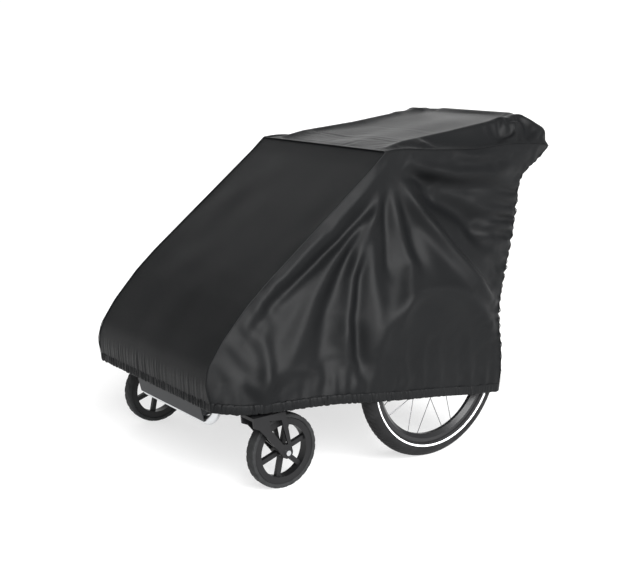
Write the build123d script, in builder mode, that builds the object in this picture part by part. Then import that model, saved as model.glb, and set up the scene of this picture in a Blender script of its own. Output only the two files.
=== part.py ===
"""Two-seat child bicycle trailer standing in stroller mode under its fitted storage cover.

Frame: +Z up, the nose points to -Y, the trailer's left side is +X. The origin is on the floor,
in the middle of the overall box. All sizes are in millimetres. Side pieces are built on the
left and mirrored for the right.
"""

import os
from math import cos, radians, sin, sqrt

from build123d import *

os.makedirs("parts", exist_ok=True)

# Clearances
joint_gap = 0.4
running_clearance = 0.05
turning_gap = 2.0

# Rear wheels: 20 inch, spoked, on push-in stub axles
wheel_radius = 250.0
wheel_track_half = 385.0
axle_y = 62.0
tyre_section_radius = 25.0
tyre_wall = 4.0
rim_radius = 208.0
rim_depth = 21.0
rim_half_width = 16.0
rim_crown_half_width = 5.0
rim_wall = 4.0
spoke_pairs = 9
spoke_radius = 1.0
spoke_tangent = 18.0
spoke_grip = 2.5
hub_flange_radius = 26.0
hub_flange_thickness = 4.0
hub_barrel_radius = 17.0
hub_inner_length = 32.0
hub_outer_length = 21.0
bearing_radius = 13.0
bearing_width = 8.0
stub_axle_radius = 6.0
axle_collar_radius = 9.0
axle_collar_length = 2.0
button_stem_radius = 3.0
button_stem_length = 11.0
button_head_radius = 5.0
button_head_length = 2.5
button_travel = 3.0
brake_ring_radius = 62.0
brake_ring_thickness = 8.0
brake_notches = 24
brake_notch_depth = 9.0
brake_pin_radius = 4.0
brake_pin_play = 0.5
brake_pin_travel = 10.0

# Front casters: 8 inch, trailing behind their swivels
caster_radius = 101.0
caster_track_half = 333.0
swivel_y = -468.0
caster_trail = 57.0
caster_tyre_half_width = 16.0
caster_tyre_depth = 13.0
caster_rim_depth = 17.0
caster_rim_half_width = 13.0
caster_spokes = 6
caster_spoke_width = 13.0
caster_spoke_thickness = 12.0
caster_hub_radius = 17.0
caster_hub_half_length = 22.0
caster_bolt_radius = 4.0
caster_bolt_head_radius = 7.0
caster_bolt_head_length = 4.0
fork_plate = 6.0
fork_crown_height = 9.0
fork_crown_front = 49.0
fork_crown_rear = 50.0
fork_tyre_gap = 3.0
fork_boss_radius = 16.0
stem_radius = 8.0
housing_radius = 19.0
housing_cap = 6.0

# Base rails, side hoops and cross tubes
rail_track_half = 268.0
rail_radius = 13.0
rail_wall = 2.0
rail_rear_y = 240.0
rail_axle_gap = 2.0
nose_y = -590.0
nose_z = 337.0
knee = (-411.0, 521.0)
roof_front = (-22.0, 826.0)
roof_rear = (150.0, 826.0)
hoop_foot_y = 200.0
hoop_bend = 35.0
crossbar_radius = 11.0
crossbar_wall = 1.8
front_crossbar_y = -540.0
rear_crossbar_y = 229.0
roof_bar_front_y = 5.0
roof_bar_rear_y = 96.0
seat_bar_ys = (-168.0, 18.0)
seat_bar_radius = 10.0
foot_socket_wall = 3.5
foot_socket_height = 46.0

# Bumper tube and footwell
bumper_radius = 12.5
bumper_wall = 2.0
bumper_y = -530.0
bumper_z = 160.0
bumper_half_width = 187.0
bumper_end = (228.0, -500.0)
bumper_bend = 40.0
footwell_half_width = 172.0
footwell_wall = 3.0
footwell_floor_z = 178.0
footwell_rear_y = -235.0
footwell_rise_y = -200.0
footwell_lean = 27.0

# Axle beam, its clamps and the brake
beam_radius = 18.0
beam_wall = 3.0
beam_half_length = 318.0
beam_socket_depth = 60.0
clamp_half_width = 24.0
clamp_half_length = 28.0
clamp_wall = 4.0
bolt_radius = 3.0
bolt_hole_gap = 0.2
bolt_head_radius = 5.0
bolt_head_height = 4.0
bolt_edge = 5.0
carrier_inner_x = 300.0
carrier_length = 30.0
carrier_wall = 8.0
pedal_pivot_y = 240.0
pedal_pivot_z = 192.0
pedal_half_width = 45.0
pedal_reach = 62.0
pedal_thickness = 8.0
pedal_eye_radius = 10.0
pedal_shaft_radius = 5.0
hanger_x = 52.0
hanger_thickness = 6.0

# Push handlebar
handle_half_width = 220.0
handle_pivot = (130.0, 846.0)
handle_end = (585.0, 900.0)
handle_radius = 11.0
handle_wall = 1.8
handle_bend = 70.0
handle_eye_radius = 13.0
handle_pin_radius = 5.0
handle_pin_cap = 3.0
handle_lug_drop = 36.0
grip_radius = 15.0
grip_half_length = 140.0

# Hitch-arm socket under the left rail
hitch_bore_radius = 12.7
hitch_wall = 4.0
hitch_length = 80.0
hitch_front_y = -278.0
hitch_drop = 33.0

# Cabin fabric, seats and harness
fabric = 3.0
cabin_inset = 16.0
cabin_side_gap = 3.0
screen_roll_radius = 21.0
screen_roll = (-40.0, 792.0)
seat_half_width = 232.0
seat_front_y = -190.0
seat_rear_y = 44.0
seat_thickness = 24.0
seat_back_height = 430.0
seat_back_thickness = 14.0
seat_back_lean = 6.0
child_centre = 118.0
strap_spread = 50.0
strap_width = 26.0
strap_thickness = 2.5
strap_length = 340.0
buckle_width = 46.0
buckle_height = 52.0
buckle_thickness = 12.0

# Storage cover. Each section, nose to tail, is at one y and holds (x, z) points on the
# outer left side: seam edge, roof ridge, side break, and hem or tail underside.
cover_wall = 3.0
hem_radius = 6.0
seam_half_width = 292.0
front_profile = ((-32, 848), (-74, 811), (-252, 672), (-424, 538), (-485, 485), (-559, 406),
                 (-603, 353), (-614, 313), (-590, 226))
cover_sections = {
    -614: ((292, 313), (200, 314), (294, 282), (297, 246)),
    -588: ((292, 371), (200, 372), (312, 310), (330, 226)),
    -500: ((292, 469), (200, 471), (356, 345), (392, 222)),
    -424: ((292, 538), (200, 541), (368, 400), (400, 216)),
    -215: ((292, 703), (200, 706), (406, 452), (420, 199)),
    -32: ((292, 848), (200, 849), (421, 520), (421, 184)),
    105: ((292, 850), (222, 878), (421, 535), (421, 174)),
    212: ((292, 846), (222, 889), (421, 500), (421, 160)),
    320: ((292, 842), (222, 903), (421, 420), (421, 146)),
    440: ((292, 842), (222, 917), (304, 660), (294, 540)),
    475: ((290, 843), (222, 919), (296, 790), (288, 736)),
    611: ((262, 850), (214, 921), (258, 820), (250, 776)),
}
nose_face_y = -614
hem_rear_y = 320
back_depths = {320: 12.0, 440: 12.0, 475: 9.0, 611: 5.0}

# Places that follow from the sizes above
rail_z = wheel_radius + beam_radius + rail_axle_gap + rail_radius
caster_axle_y = swivel_y + caster_trail
crown_bottom_z = 2 * caster_radius + fork_tyre_gap
crown_top_z = crown_bottom_z + fork_crown_height
fork_gap_half = caster_hub_half_length + turning_gap
fork_half_width = fork_gap_half + fork_plate
housing_bottom_z = crown_top_z + turning_gap
housing_top_z = rail_z + rail_radius + clamp_wall
cross_half_length = rail_track_half - rail_radius - joint_gap
seat_bottom_z = rail_z + rail_radius + joint_gap
seat_top_z = seat_bottom_z + seat_thickness
hub_outer_x = wheel_track_half + hub_outer_length
brake_ring_x = wheel_track_half - hub_inner_length - brake_ring_thickness
brake_pin_circle = brake_ring_radius - brake_pin_radius
cabin_half_width = cross_half_length - cabin_side_gap - fabric
up = (Align.CENTER, Align.CENTER, Align.MIN)


def save(part, name):
    """Labels a finished piece and writes it as its own STEP file."""
    part.label = name
    export_step(part, f"parts/{name}.step")


def save_pair(piece, name):
    """Writes the left piece, then its mirror image for the right side."""
    save(piece.part, f"{name}_left")
    with BuildPart() as twin:
        mirror(piece.part, about=Plane.YZ)
    save(twin.part, f"{name}_right")


def across(x, y, z):
    """A plane facing +X at a point, with its own x along +Y and its own y along +Z."""
    return Plane(origin=(x, y, z), x_dir=(0, 1, 0), z_dir=(1, 0, 0))


def station(y):
    """A cross-section plane at y, with its own x along +X and its own y along +Z."""
    return Plane(origin=(0, y, 0), x_dir=(1, 0, 0), z_dir=(0, -1, 0))


def straight(start, end):
    """A plane at start that faces end, and the distance between the two points."""
    reach = Vector(*end) - Vector(*start)
    return Plane(origin=start, z_dir=reach), reach.length


# --- Rear wheels -----------------------------------------------------------------------------

wheel_section = Plane(origin=(wheel_track_half, axle_y, wheel_radius), x_dir=(1, 0, 0), z_dir=(0, -1, 0))
wheel_axis = Axis((0, axle_y, wheel_radius), (1, 0, 0))
tyre_centre = wheel_radius - tyre_section_radius

with BuildPart() as rear_tyre:
    with BuildSketch(wheel_section):
        with Locations((0, tyre_centre)):
            Circle(tyre_section_radius)
            Circle(tyre_section_radius - tyre_wall, mode=Mode.SUBTRACT)
        with Locations((0, rim_radius / 2)):
            Rectangle(3 * tyre_section_radius, rim_radius, mode=Mode.SUBTRACT)
    revolve(axis=wheel_axis)
save_pair(rear_tyre, "rear_tyre")

with BuildPart() as rear_rim:
    with BuildSketch(wheel_section):
        with BuildLine():
            Polyline(
                (-rim_half_width, rim_radius),
                (rim_half_width, rim_radius),
                (rim_half_width, rim_radius - rim_depth / 2),
                (rim_crown_half_width, rim_radius - rim_depth),
                (-rim_crown_half_width, rim_radius - rim_depth),
                (-rim_half_width, rim_radius - rim_depth / 2),
                close=True,
            )
        make_face()
        with Locations((0, rim_radius)):
            Rectangle(2 * (rim_half_width - rim_wall), rim_depth, mode=Mode.SUBTRACT)
    revolve(axis=wheel_axis)
save_pair(rear_rim, "rear_rim")

with BuildPart() as rear_hub:
    with BuildSketch(wheel_section):
        with BuildLine():
            Polyline(
                (-hub_inner_length, stub_axle_radius + turning_gap),
                (hub_outer_length, stub_axle_radius + turning_gap),
                (hub_outer_length, hub_flange_radius),
                (hub_outer_length - hub_flange_thickness, hub_flange_radius),
                (hub_outer_length - hub_flange_thickness, hub_barrel_radius),
                (hub_flange_thickness - hub_inner_length, hub_barrel_radius),
                (hub_flange_thickness - hub_inner_length, hub_flange_radius),
                (-hub_inner_length, hub_flange_radius),
                close=True,
            )
        make_face()
        for bearing_x in (bearing_width / 2 - hub_inner_length, hub_outer_length - bearing_width / 2):
            with Locations((bearing_x, bearing_radius / 2)):
                Rectangle(bearing_width, bearing_radius, mode=Mode.SUBTRACT)
    revolve(axis=wheel_axis)
save_pair(rear_hub, "rear_hub")

with BuildPart() as wheel_bearings:
    with BuildSketch(wheel_section):
        bearing_bore = stub_axle_radius + running_clearance
        for bearing_x in (bearing_width / 2 - hub_inner_length, hub_outer_length - bearing_width / 2):
            with Locations((bearing_x, (bearing_radius + bearing_bore) / 2)):
                Rectangle(bearing_width, bearing_radius - bearing_bore)
    revolve(axis=wheel_axis)
save_pair(wheel_bearings, "wheel_bearings")

# Spokes run in parallel pairs, one to each hub flange, each passing beside the wheel's centre
rim_inner_radius = rim_radius - rim_depth
spoke_foot = sqrt((hub_flange_radius - spoke_grip) ** 2 - spoke_tangent**2)
spoke_end = sqrt((rim_inner_radius + spoke_grip) ** 2 - spoke_tangent**2)
flanges = {
    1: hub_outer_length - hub_flange_thickness / 2,
    -1: hub_flange_thickness / 2 - hub_inner_length,
}
with BuildPart() as rear_spokes:
    for pair in range(spoke_pairs):
        turn = radians(pair * 360 / spoke_pairs + 10)
        for hand, flange_x in flanges.items():
            ends = []
            for x, reach in ((flange_x, spoke_foot), (0, spoke_end)):
                y = axle_y + reach * cos(turn) - hand * spoke_tangent * sin(turn)
                z = wheel_radius + reach * sin(turn) + hand * spoke_tangent * cos(turn)
                ends.append((wheel_track_half + x, y, z))
            plane, length = straight(*ends)
            with Locations(plane):
                Cylinder(spoke_radius, length, align=up)
save_pair(rear_spokes, "rear_spokes")

with BuildPart() as brake_ring:
    with BuildSketch(across(brake_ring_x, axle_y, wheel_radius)):
        Circle(brake_ring_radius)
        Circle(bearing_radius, mode=Mode.SUBTRACT)
        with PolarLocations(brake_ring_radius - brake_notch_depth / 2, brake_notches):
            Rectangle(brake_notch_depth + 1, 2 * (brake_pin_radius + brake_pin_play), mode=Mode.SUBTRACT)
    extrude(amount=brake_ring_thickness)
save_pair(brake_ring, "brake_ring")

with BuildPart() as stub_axles:
    axle_start = beam_half_length - beam_socket_depth
    with Locations(across(axle_start, axle_y, wheel_radius)):
        Cylinder(stub_axle_radius, hub_outer_x - axle_start, align=up)
    with Locations(across(hub_outer_x + joint_gap, axle_y, wheel_radius)):
        Cylinder(axle_collar_radius, axle_collar_length, align=up)
    with Locations(across(hub_outer_x, axle_y, wheel_radius)):
        Cylinder(stub_axle_radius, joint_gap, align=up)
    axle_end_x = hub_outer_x + joint_gap + axle_collar_length
    with Locations(across(axle_end_x, axle_y, wheel_radius)):
        Cylinder(
            button_stem_radius + running_clearance,
            2 * (button_stem_length + joint_gap),
            mode=Mode.SUBTRACT,
        )
    mirror(about=Plane.YZ)
save(stub_axles.part, "stub_axles")

# The button stands proud by its travel, and its stem stops that far from the hole's floor
button_face_x = axle_end_x + button_travel + joint_gap
with BuildPart() as release_button:
    with Locations(across(button_face_x, axle_y, wheel_radius)):
        Cylinder(button_head_radius, button_head_length, align=up)
    with Locations(across(axle_end_x + button_travel - button_stem_length, axle_y, wheel_radius)):
        Cylinder(button_stem_radius, button_stem_length + joint_gap, align=up)
save_pair(release_button, "release_button")

# --- Front casters ---------------------------------------------------------------------------

caster_centre = (caster_track_half, caster_axle_y, caster_radius)
caster_section = Plane(origin=caster_centre, x_dir=(1, 0, 0), z_dir=(0, -1, 0))
caster_axis = Axis((0, caster_axle_y, caster_radius), (1, 0, 0))
caster_seat_radius = caster_radius - caster_tyre_depth
caster_rim_bore = caster_seat_radius - caster_rim_depth

with BuildPart() as caster_tyre:
    with BuildSketch(caster_section):
        with Locations((0, caster_radius - caster_tyre_depth / 2)):
            RectangleRounded(2 * caster_tyre_half_width, caster_tyre_depth, 5)
    revolve(axis=caster_axis)
save_pair(caster_tyre, "caster_tyre")

with BuildPart() as caster_wheel:
    with BuildSketch(caster_section):
        with Locations((0, (caster_seat_radius + caster_rim_bore) / 2)):
            Rectangle(2 * caster_rim_half_width, caster_rim_depth)
        with Locations((0, caster_hub_radius / 2)):
            Rectangle(2 * caster_hub_half_length, caster_hub_radius)
    revolve(axis=caster_axis)
    with BuildSketch(across(*caster_centre)):
        with PolarLocations((caster_hub_radius + caster_seat_radius) / 2 - 3, caster_spokes, 18):
            Rectangle(caster_seat_radius - caster_hub_radius, caster_spoke_width)
    extrude(amount=caster_spoke_thickness / 2, both=True)
    with Locations(across(*caster_centre)):
        Hole(caster_bolt_radius + running_clearance)
save_pair(caster_wheel, "caster_wheel")

# The fork's cheek: wide under the crown, tapering to the axle, with a three-sided window
cheek_outline = (
    (swivel_y - fork_crown_front, crown_top_z),
    (swivel_y - fork_crown_front + 3, crown_top_z - 27),
    (swivel_y - fork_crown_front + 21, crown_top_z - 35),
    (caster_axle_y - 13, caster_radius - 8),
    (caster_axle_y + fork_boss_radius, caster_radius),
    (swivel_y + fork_crown_rear, crown_top_z),
)
cheek_window = (
    (swivel_y + 1, crown_top_z - 16),
    (swivel_y + fork_crown_rear - 12, crown_top_z - 20),
    (caster_axle_y + 1, caster_radius + 22),
    (caster_axle_y - 14, caster_radius + 25),
    (swivel_y + 5, crown_top_z - 40),
)
with BuildPart() as caster_fork:
    with BuildSketch(across(caster_track_half, 0, 0)):
        with BuildLine():
            Polyline(*cheek_outline, close=True)
        make_face()
        with Locations((caster_axle_y, caster_radius)):
            Circle(fork_boss_radius)
            Circle(caster_bolt_radius, mode=Mode.SUBTRACT)
        with BuildLine(mode=Mode.PRIVATE) as window_edge:
            Polyline(*cheek_window, close=True)
        make_face(window_edge.edges(), mode=Mode.SUBTRACT)
    extrude(amount=fork_half_width, both=True)
    gap_bottom = -joint_gap
    with Locations((caster_track_half, caster_axle_y, gap_bottom)):
        Box(
            2 * fork_gap_half,
            4 * caster_radius,
            crown_bottom_z - gap_bottom,
            align=up,
            mode=Mode.SUBTRACT,
        )
    with Locations((caster_track_half, swivel_y, crown_bottom_z)):
        Cylinder(stem_radius, housing_top_z - housing_cap - turning_gap - crown_bottom_z, align=up)
save_pair(caster_fork, "caster_fork")

with BuildPart() as caster_bolt:
    with Locations(across(*caster_centre)):
        Cylinder(caster_bolt_radius, 2 * (fork_half_width + joint_gap))
    for outward in (1, -1):
        head_x = outward * (fork_half_width + joint_gap + caster_bolt_head_length / 2)
        with Locations(across(caster_track_half + head_x, caster_axle_y, caster_radius)):
            Cylinder(caster_bolt_head_radius, caster_bolt_head_length)
save_pair(caster_bolt, "caster_bolt")

with BuildPart() as caster_housings:
    with Locations((caster_track_half, swivel_y, housing_bottom_z)):
        Cylinder(housing_radius, housing_top_z - housing_bottom_z, align=up)
    arm_inner_x = rail_track_half - rail_radius - clamp_wall
    arm_bottom_z = rail_z - rail_radius - clamp_wall
    with Locations(((arm_inner_x + caster_track_half) / 2, swivel_y, arm_bottom_z)):
        Box(caster_track_half - arm_inner_x, 2 * housing_radius, housing_top_z - arm_bottom_z, align=up)
    with Locations(Plane(origin=(rail_track_half, swivel_y, rail_z), z_dir=(0, 1, 0))):
        Cylinder(rail_radius + running_clearance, 4 * housing_radius, mode=Mode.SUBTRACT)
    with Locations((caster_track_half, swivel_y, housing_bottom_z)):
        Cylinder(
            stem_radius + running_clearance,
            2 * (housing_top_z - housing_cap - housing_bottom_z),
            mode=Mode.SUBTRACT,
        )
    mirror(about=Plane.YZ)
save(caster_housings.part, "caster_housings")

# --- Base frame and side hoops ---------------------------------------------------------------

# Each hoop is one bent tube: rail, nose, knee, roof and rear leg, ending just above the rail
hoop_foot_z = rail_z + rail_radius + turning_gap
with BuildPart() as side_hoop:
    with BuildLine() as hoop_path:
        FilletPolyline(
            (rail_track_half, rail_rear_y, rail_z),
            (rail_track_half, nose_y, rail_z),
            (rail_track_half, nose_y, nose_z),
            (rail_track_half, *knee),
            (rail_track_half, *roof_front),
            (rail_track_half, *roof_rear),
            (rail_track_half, hoop_foot_y, hoop_foot_z),
            radius=hoop_bend,
        )
    for radius, mode in ((rail_radius, Mode.ADD), (rail_radius - rail_wall, Mode.SUBTRACT)):
        with BuildSketch(Plane(origin=hoop_path.line @ 0, z_dir=hoop_path.line % 0)):
            Circle(radius)
        sweep(path=hoop_path.line, mode=mode)
save_pair(side_hoop, "side_hoop")

# Cross tubes between the hoops, two along the base, two at the roof and two under the seat
cross_tubes = {
    "base_crossbars": ((front_crossbar_y, rail_z), (rear_crossbar_y, rail_z)),
    "roof_crossbars": ((roof_bar_front_y, roof_front[1]), (roof_bar_rear_y, roof_front[1])),
    "seat_bars": tuple((y, rail_z + rail_radius - seat_bar_radius) for y in seat_bar_ys),
}
for bar_name, places in cross_tubes.items():
    bar_radius = seat_bar_radius if bar_name == "seat_bars" else crossbar_radius
    with BuildPart() as crossbars:
        for y, z in places:
            with Locations(across(0, y, z)):
                Cylinder(bar_radius, 2 * cross_half_length)
                Cylinder(bar_radius - crossbar_wall, 2 * cross_half_length, mode=Mode.SUBTRACT)
    save(crossbars.part, bar_name)

# A saddle over the rail holds the foot of each hoop's rear leg
foot_radius = rail_radius + foot_socket_wall
with BuildPart() as foot_sockets:
    with Locations((rail_track_half, hoop_foot_y, rail_z - foot_radius)):
        Box(2 * foot_radius, 2 * foot_radius, foot_radius + rail_radius + foot_socket_height, align=up)
    leg_plane, leg_length = straight(
        (rail_track_half, hoop_foot_y, hoop_foot_z),
        (rail_track_half, *roof_rear),
    )
    with Locations(leg_plane):
        Cylinder(rail_radius + running_clearance, leg_length, align=up, mode=Mode.SUBTRACT)
    with Locations(Plane(origin=(rail_track_half, hoop_foot_y, rail_z), z_dir=(0, 1, 0))):
        Cylinder(rail_radius + running_clearance, 4 * foot_radius, mode=Mode.SUBTRACT)
    mirror(about=Plane.YZ)
save(foot_sockets.part, "foot_sockets")

# --- Bumper tube and footwell ----------------------------------------------------------------

bumper_end_y = bumper_end[1]
bumper_end_z = rail_z - rail_radius - joint_gap
with BuildPart() as bumper_tube:
    with BuildLine() as bumper_path:
        FilletPolyline(
            (-bumper_end[0], bumper_end_y, bumper_end_z),
            (-bumper_half_width, bumper_y, bumper_z),
            (bumper_half_width, bumper_y, bumper_z),
            (bumper_end[0], bumper_end_y, bumper_end_z),
            radius=bumper_bend,
        )
    for radius, mode in ((bumper_radius, Mode.ADD), (bumper_radius - bumper_wall, Mode.SUBTRACT)):
        with BuildSketch(Plane(origin=bumper_path.line @ 0, z_dir=bumper_path.line % 0)):
            Circle(radius)
        sweep(path=bumper_path.line, mode=mode)
save(bumper_tube.part, "bumper_tube")

# The footwell is a tub hung between the cross tubes; its front face runs down over the bumper
footwell_top_z = rail_z - crossbar_radius - joint_gap
lip_y = bumper_y - bumper_radius - footwell_wall - running_clearance - joint_gap
lean = footwell_lean / (footwell_top_z - bumper_z)
front_top_y = lip_y - footwell_lean
front_floor_y = front_top_y + lean * (footwell_top_z - footwell_floor_z)
with BuildPart() as footwell:
    with BuildSketch(Plane.YZ):
        with BuildLine():
            Polyline(
                (front_top_y, footwell_top_z),
                (front_floor_y, footwell_floor_z),
                (footwell_rear_y, footwell_floor_z),
                (footwell_rise_y, footwell_top_z),
                close=True,
            )
        make_face()
    extrude(amount=footwell_half_width, both=True)
    tub_top = footwell.faces().sort_by(Axis.Z)[-1]
    offset(amount=-footwell_wall, openings=tub_top)
    with BuildSketch(Plane.YZ):
        with BuildLine():
            Polyline(
                (front_top_y, footwell_top_z),
                (lip_y, bumper_z),
                (lip_y + footwell_wall, bumper_z),
                (front_top_y + footwell_wall, footwell_top_z),
                close=True,
            )
        make_face()
    extrude(amount=footwell_half_width, both=True)
save(footwell.part, "footwell")

# --- Axle beam, clamps and brake -------------------------------------------------------------

with BuildPart() as axle_beam:
    with Locations(across(0, axle_y, wheel_radius)):
        Cylinder(beam_radius, 2 * beam_half_length)
        Cylinder(beam_radius - beam_wall, 2 * axle_start, mode=Mode.SUBTRACT)
        Cylinder(stub_axle_radius + running_clearance, 2 * beam_half_length, mode=Mode.SUBTRACT)
save(axle_beam.part, "axle_beam")

# Clamp blocks join the beam to the rails, with a bolt in each corner
clamp_bottom_z = wheel_radius - beam_radius - clamp_wall
clamp_top_z = rail_z + rail_radius + clamp_wall
clamp_plane = Plane(origin=(rail_track_half, axle_y, clamp_bottom_z))
clamp_bolts = GridLocations(
    2 * (clamp_half_width - bolt_edge), 2 * (clamp_half_length - bolt_edge), 2, 2
)
with BuildPart() as axle_clamps:
    with BuildSketch(clamp_plane):
        Rectangle(2 * clamp_half_width, 2 * clamp_half_length)
        with clamp_bolts:
            Circle(bolt_radius + bolt_hole_gap, mode=Mode.SUBTRACT)
    extrude(amount=clamp_top_z - clamp_bottom_z)
    with Locations(Plane(origin=(rail_track_half, axle_y, rail_z), z_dir=(0, 1, 0))):
        Cylinder(rail_radius + running_clearance, 4 * clamp_half_length, mode=Mode.SUBTRACT)
    with Locations(across(rail_track_half, axle_y, wheel_radius)):
        Cylinder(beam_radius + running_clearance, 4 * clamp_half_width, mode=Mode.SUBTRACT)
    mirror(about=Plane.YZ)
save(axle_clamps.part, "axle_clamps")

with BuildPart() as clamp_bolt_set:
    with BuildSketch(clamp_plane):
        with clamp_bolts:
            Circle(bolt_radius)
    extrude(amount=clamp_top_z - clamp_bottom_z)
    with BuildSketch(clamp_plane.offset(clamp_top_z - clamp_bottom_z)):
        with clamp_bolts:
            RegularPolygon(bolt_head_radius, 6)
    extrude(amount=bolt_head_height)
    mirror(about=Plane.YZ)
save(clamp_bolt_set.part, "clamp_bolts")

# Each carrier rides on the beam and guides a brake pin into the notched ring on the hub
pin_y = axle_y + brake_pin_circle
carrier_front_y = axle_y - beam_radius - clamp_wall
carrier_rear_y = pin_y + brake_pin_radius + carrier_wall
with BuildPart() as brake_carriers:
    with BuildSketch(across(carrier_inner_x, 0, 0)):
        with Locations(((carrier_front_y + carrier_rear_y) / 2, wheel_radius)):
            Rectangle(carrier_rear_y - carrier_front_y, 2 * (beam_radius + clamp_wall))
        with Locations((axle_y, wheel_radius)):
            Circle(beam_radius + running_clearance, mode=Mode.SUBTRACT)
        with Locations((pin_y, wheel_radius)):
            Circle(brake_pin_radius + running_clearance, mode=Mode.SUBTRACT)
    extrude(amount=carrier_length)
    fillet(brake_carriers.edges().filter_by(Axis.X).group_by(Axis.Y)[-1], radius=carrier_wall / 2)
    mirror(about=Plane.YZ)
save(brake_carriers.part, "brake_carriers")

with BuildPart() as brake_pin:
    pin_start_x = carrier_inner_x - brake_pin_travel
    with Locations(across(pin_start_x, pin_y, wheel_radius)):
        Cylinder(brake_pin_radius, brake_ring_x - turning_gap - pin_start_x, align=up)
save_pair(brake_pin, "brake_pin")

# Two hangers on the rear cross tube carry the foot pedal on a through shaft
with BuildPart() as pedal_hangers:
    with BuildSketch(across(hanger_x, 0, 0)):
        with BuildLine():
            Polyline(
                (rear_crossbar_y - crossbar_radius - clamp_wall, rail_z + crossbar_radius + clamp_wall),
                (rear_crossbar_y + crossbar_radius + clamp_wall, rail_z + crossbar_radius + clamp_wall),
                (pedal_pivot_y + pedal_eye_radius, pedal_pivot_z),
                (pedal_pivot_y - pedal_eye_radius, pedal_pivot_z),
                close=True,
            )
        make_face()
        with Locations((pedal_pivot_y, pedal_pivot_z)):
            Circle(pedal_eye_radius)
            Circle(pedal_shaft_radius + running_clearance, mode=Mode.SUBTRACT)
        with Locations((rear_crossbar_y, rail_z)):
            Circle(crossbar_radius + running_clearance, mode=Mode.SUBTRACT)
    extrude(amount=hanger_thickness)
    mirror(about=Plane.YZ)
save(pedal_hangers.part, "pedal_hangers")

with BuildPart() as brake_pedal:
    with BuildSketch(Plane.YZ):
        with Locations((pedal_pivot_y + pedal_reach / 2, pedal_pivot_z)):
            Rectangle(pedal_reach, pedal_thickness)
        with Locations((pedal_pivot_y, pedal_pivot_z)):
            Circle(pedal_eye_radius)
    extrude(amount=pedal_half_width, both=True)
    with Locations(across(0, pedal_pivot_y, pedal_pivot_z)):
        Cylinder(pedal_shaft_radius, 2 * (hanger_x + 2 * hanger_thickness))
    fillet(brake_pedal.edges().filter_by(Axis.Z).group_by(Axis.Y)[-1], radius=pedal_reach / 5)
save(brake_pedal.part, "brake_pedal")

# --- Push handlebar --------------------------------------------------------------------------

handle_pivot_y, handle_pivot_z = handle_pivot
handle_lug_x = handle_half_width + handle_radius + turning_gap
with BuildPart() as handlebar_tube:
    with BuildLine() as handle_path:
        FilletPolyline(
            (handle_half_width, *handle_pivot),
            (handle_half_width, *handle_end),
            (-handle_half_width, *handle_end),
            (-handle_half_width, *handle_pivot),
            radius=handle_bend,
        )
    for radius, mode in ((handle_radius, Mode.ADD), (handle_radius - handle_wall, Mode.SUBTRACT)):
        with BuildSketch(Plane(origin=handle_path.line @ 0, z_dir=handle_path.line % 0)):
            Circle(radius)
        sweep(path=handle_path.line, mode=mode)
    for x in (-handle_half_width, handle_half_width):
        with Locations(across(x, handle_pivot_y, handle_pivot_z)):
            Cylinder(handle_eye_radius, 2 * handle_radius)
            Cylinder(
                handle_pin_radius + running_clearance,
                3 * handle_radius,
                mode=Mode.SUBTRACT,
            )
save(handlebar_tube.part, "handlebar_tube")

with BuildPart() as handlebar_grip:
    with Locations(across(0, *handle_end)):
        Cylinder(grip_radius, 2 * grip_half_length)
        Cylinder(handle_radius + running_clearance, 2 * grip_half_length, mode=Mode.SUBTRACT)
    grip_rims = handlebar_grip.edges().filter_by(GeomType.CIRCLE).group_by(SortBy.RADIUS)[-1]
    fillet(grip_rims, radius=(grip_radius - handle_radius) / 2)
save(handlebar_grip.part, "handlebar_grip")

# Lugs on the hoops carry the handlebar's pins, each with a cap inside the leg
with BuildPart() as handle_lugs:
    with BuildSketch(across(handle_lug_x, 0, 0)):
        with Locations((handle_pivot_y, handle_pivot_z)):
            Circle(handle_eye_radius)
        with Locations((handle_pivot_y, handle_pivot_z - handle_lug_drop / 2)):
            Rectangle(2 * handle_eye_radius, handle_lug_drop)
    extrude(amount=cross_half_length - handle_lug_x)
    pin_end_x = handle_half_width - handle_radius - turning_gap
    with Locations(across(pin_end_x, *handle_pivot)):
        Cylinder(handle_pin_radius, handle_lug_x - pin_end_x, align=up)
    with Locations(across(pin_end_x - handle_pin_cap, *handle_pivot)):
        Cylinder(handle_eye_radius - handle_pin_cap, handle_pin_cap, align=up)
    mirror(about=Plane.YZ)
save(handle_lugs.part, "handle_lugs")

# --- Hitch-arm socket ------------------------------------------------------------------------

hitch_radius = hitch_bore_radius + hitch_wall
hitch_z = rail_z - hitch_drop
hitch_plane = Plane(origin=(rail_track_half, hitch_front_y, hitch_z), z_dir=(0, 1, 0))
with BuildPart() as hitch_socket:
    with Locations(hitch_plane):
        Cylinder(hitch_radius, hitch_length, align=up)
    with Locations((rail_track_half, hitch_front_y + hitch_length / 2, hitch_z)):
        Box(hitch_radius, hitch_length / 2, hitch_drop, align=up)
    with Locations(Plane(origin=(rail_track_half, hitch_front_y, rail_z), z_dir=(0, 1, 0))):
        Cylinder(rail_radius + running_clearance, 3 * hitch_length, mode=Mode.SUBTRACT)
    with Locations(hitch_plane):
        Cylinder(hitch_bore_radius, 3 * hitch_length, mode=Mode.SUBTRACT)
save(hitch_socket.part, "hitch_socket")

# --- Cabin, seats and harness ----------------------------------------------------------------

# Side panels follow the hoop's outline, drawn in by the inset and clear of the clamps' bolts
panel_foot_z = rail_z + clamp_wall + bolt_head_height
hoop_outline = (
    (nose_y, panel_foot_z),
    (nose_y, nose_z),
    knee,
    roof_front,
    roof_rear,
    (hoop_foot_y, panel_foot_z),
)
with BuildPart() as cabin_side:
    with BuildSketch(across(cabin_half_width + joint_gap, 0, 0)):
        with BuildLine():
            Polyline(*hoop_outline, close=True)
        make_face()
        offset(amount=-cabin_inset, kind=Kind.INTERSECTION, mode=Mode.REPLACE)
    extrude(amount=fabric)
save_pair(cabin_side, "cabin_side")

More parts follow.
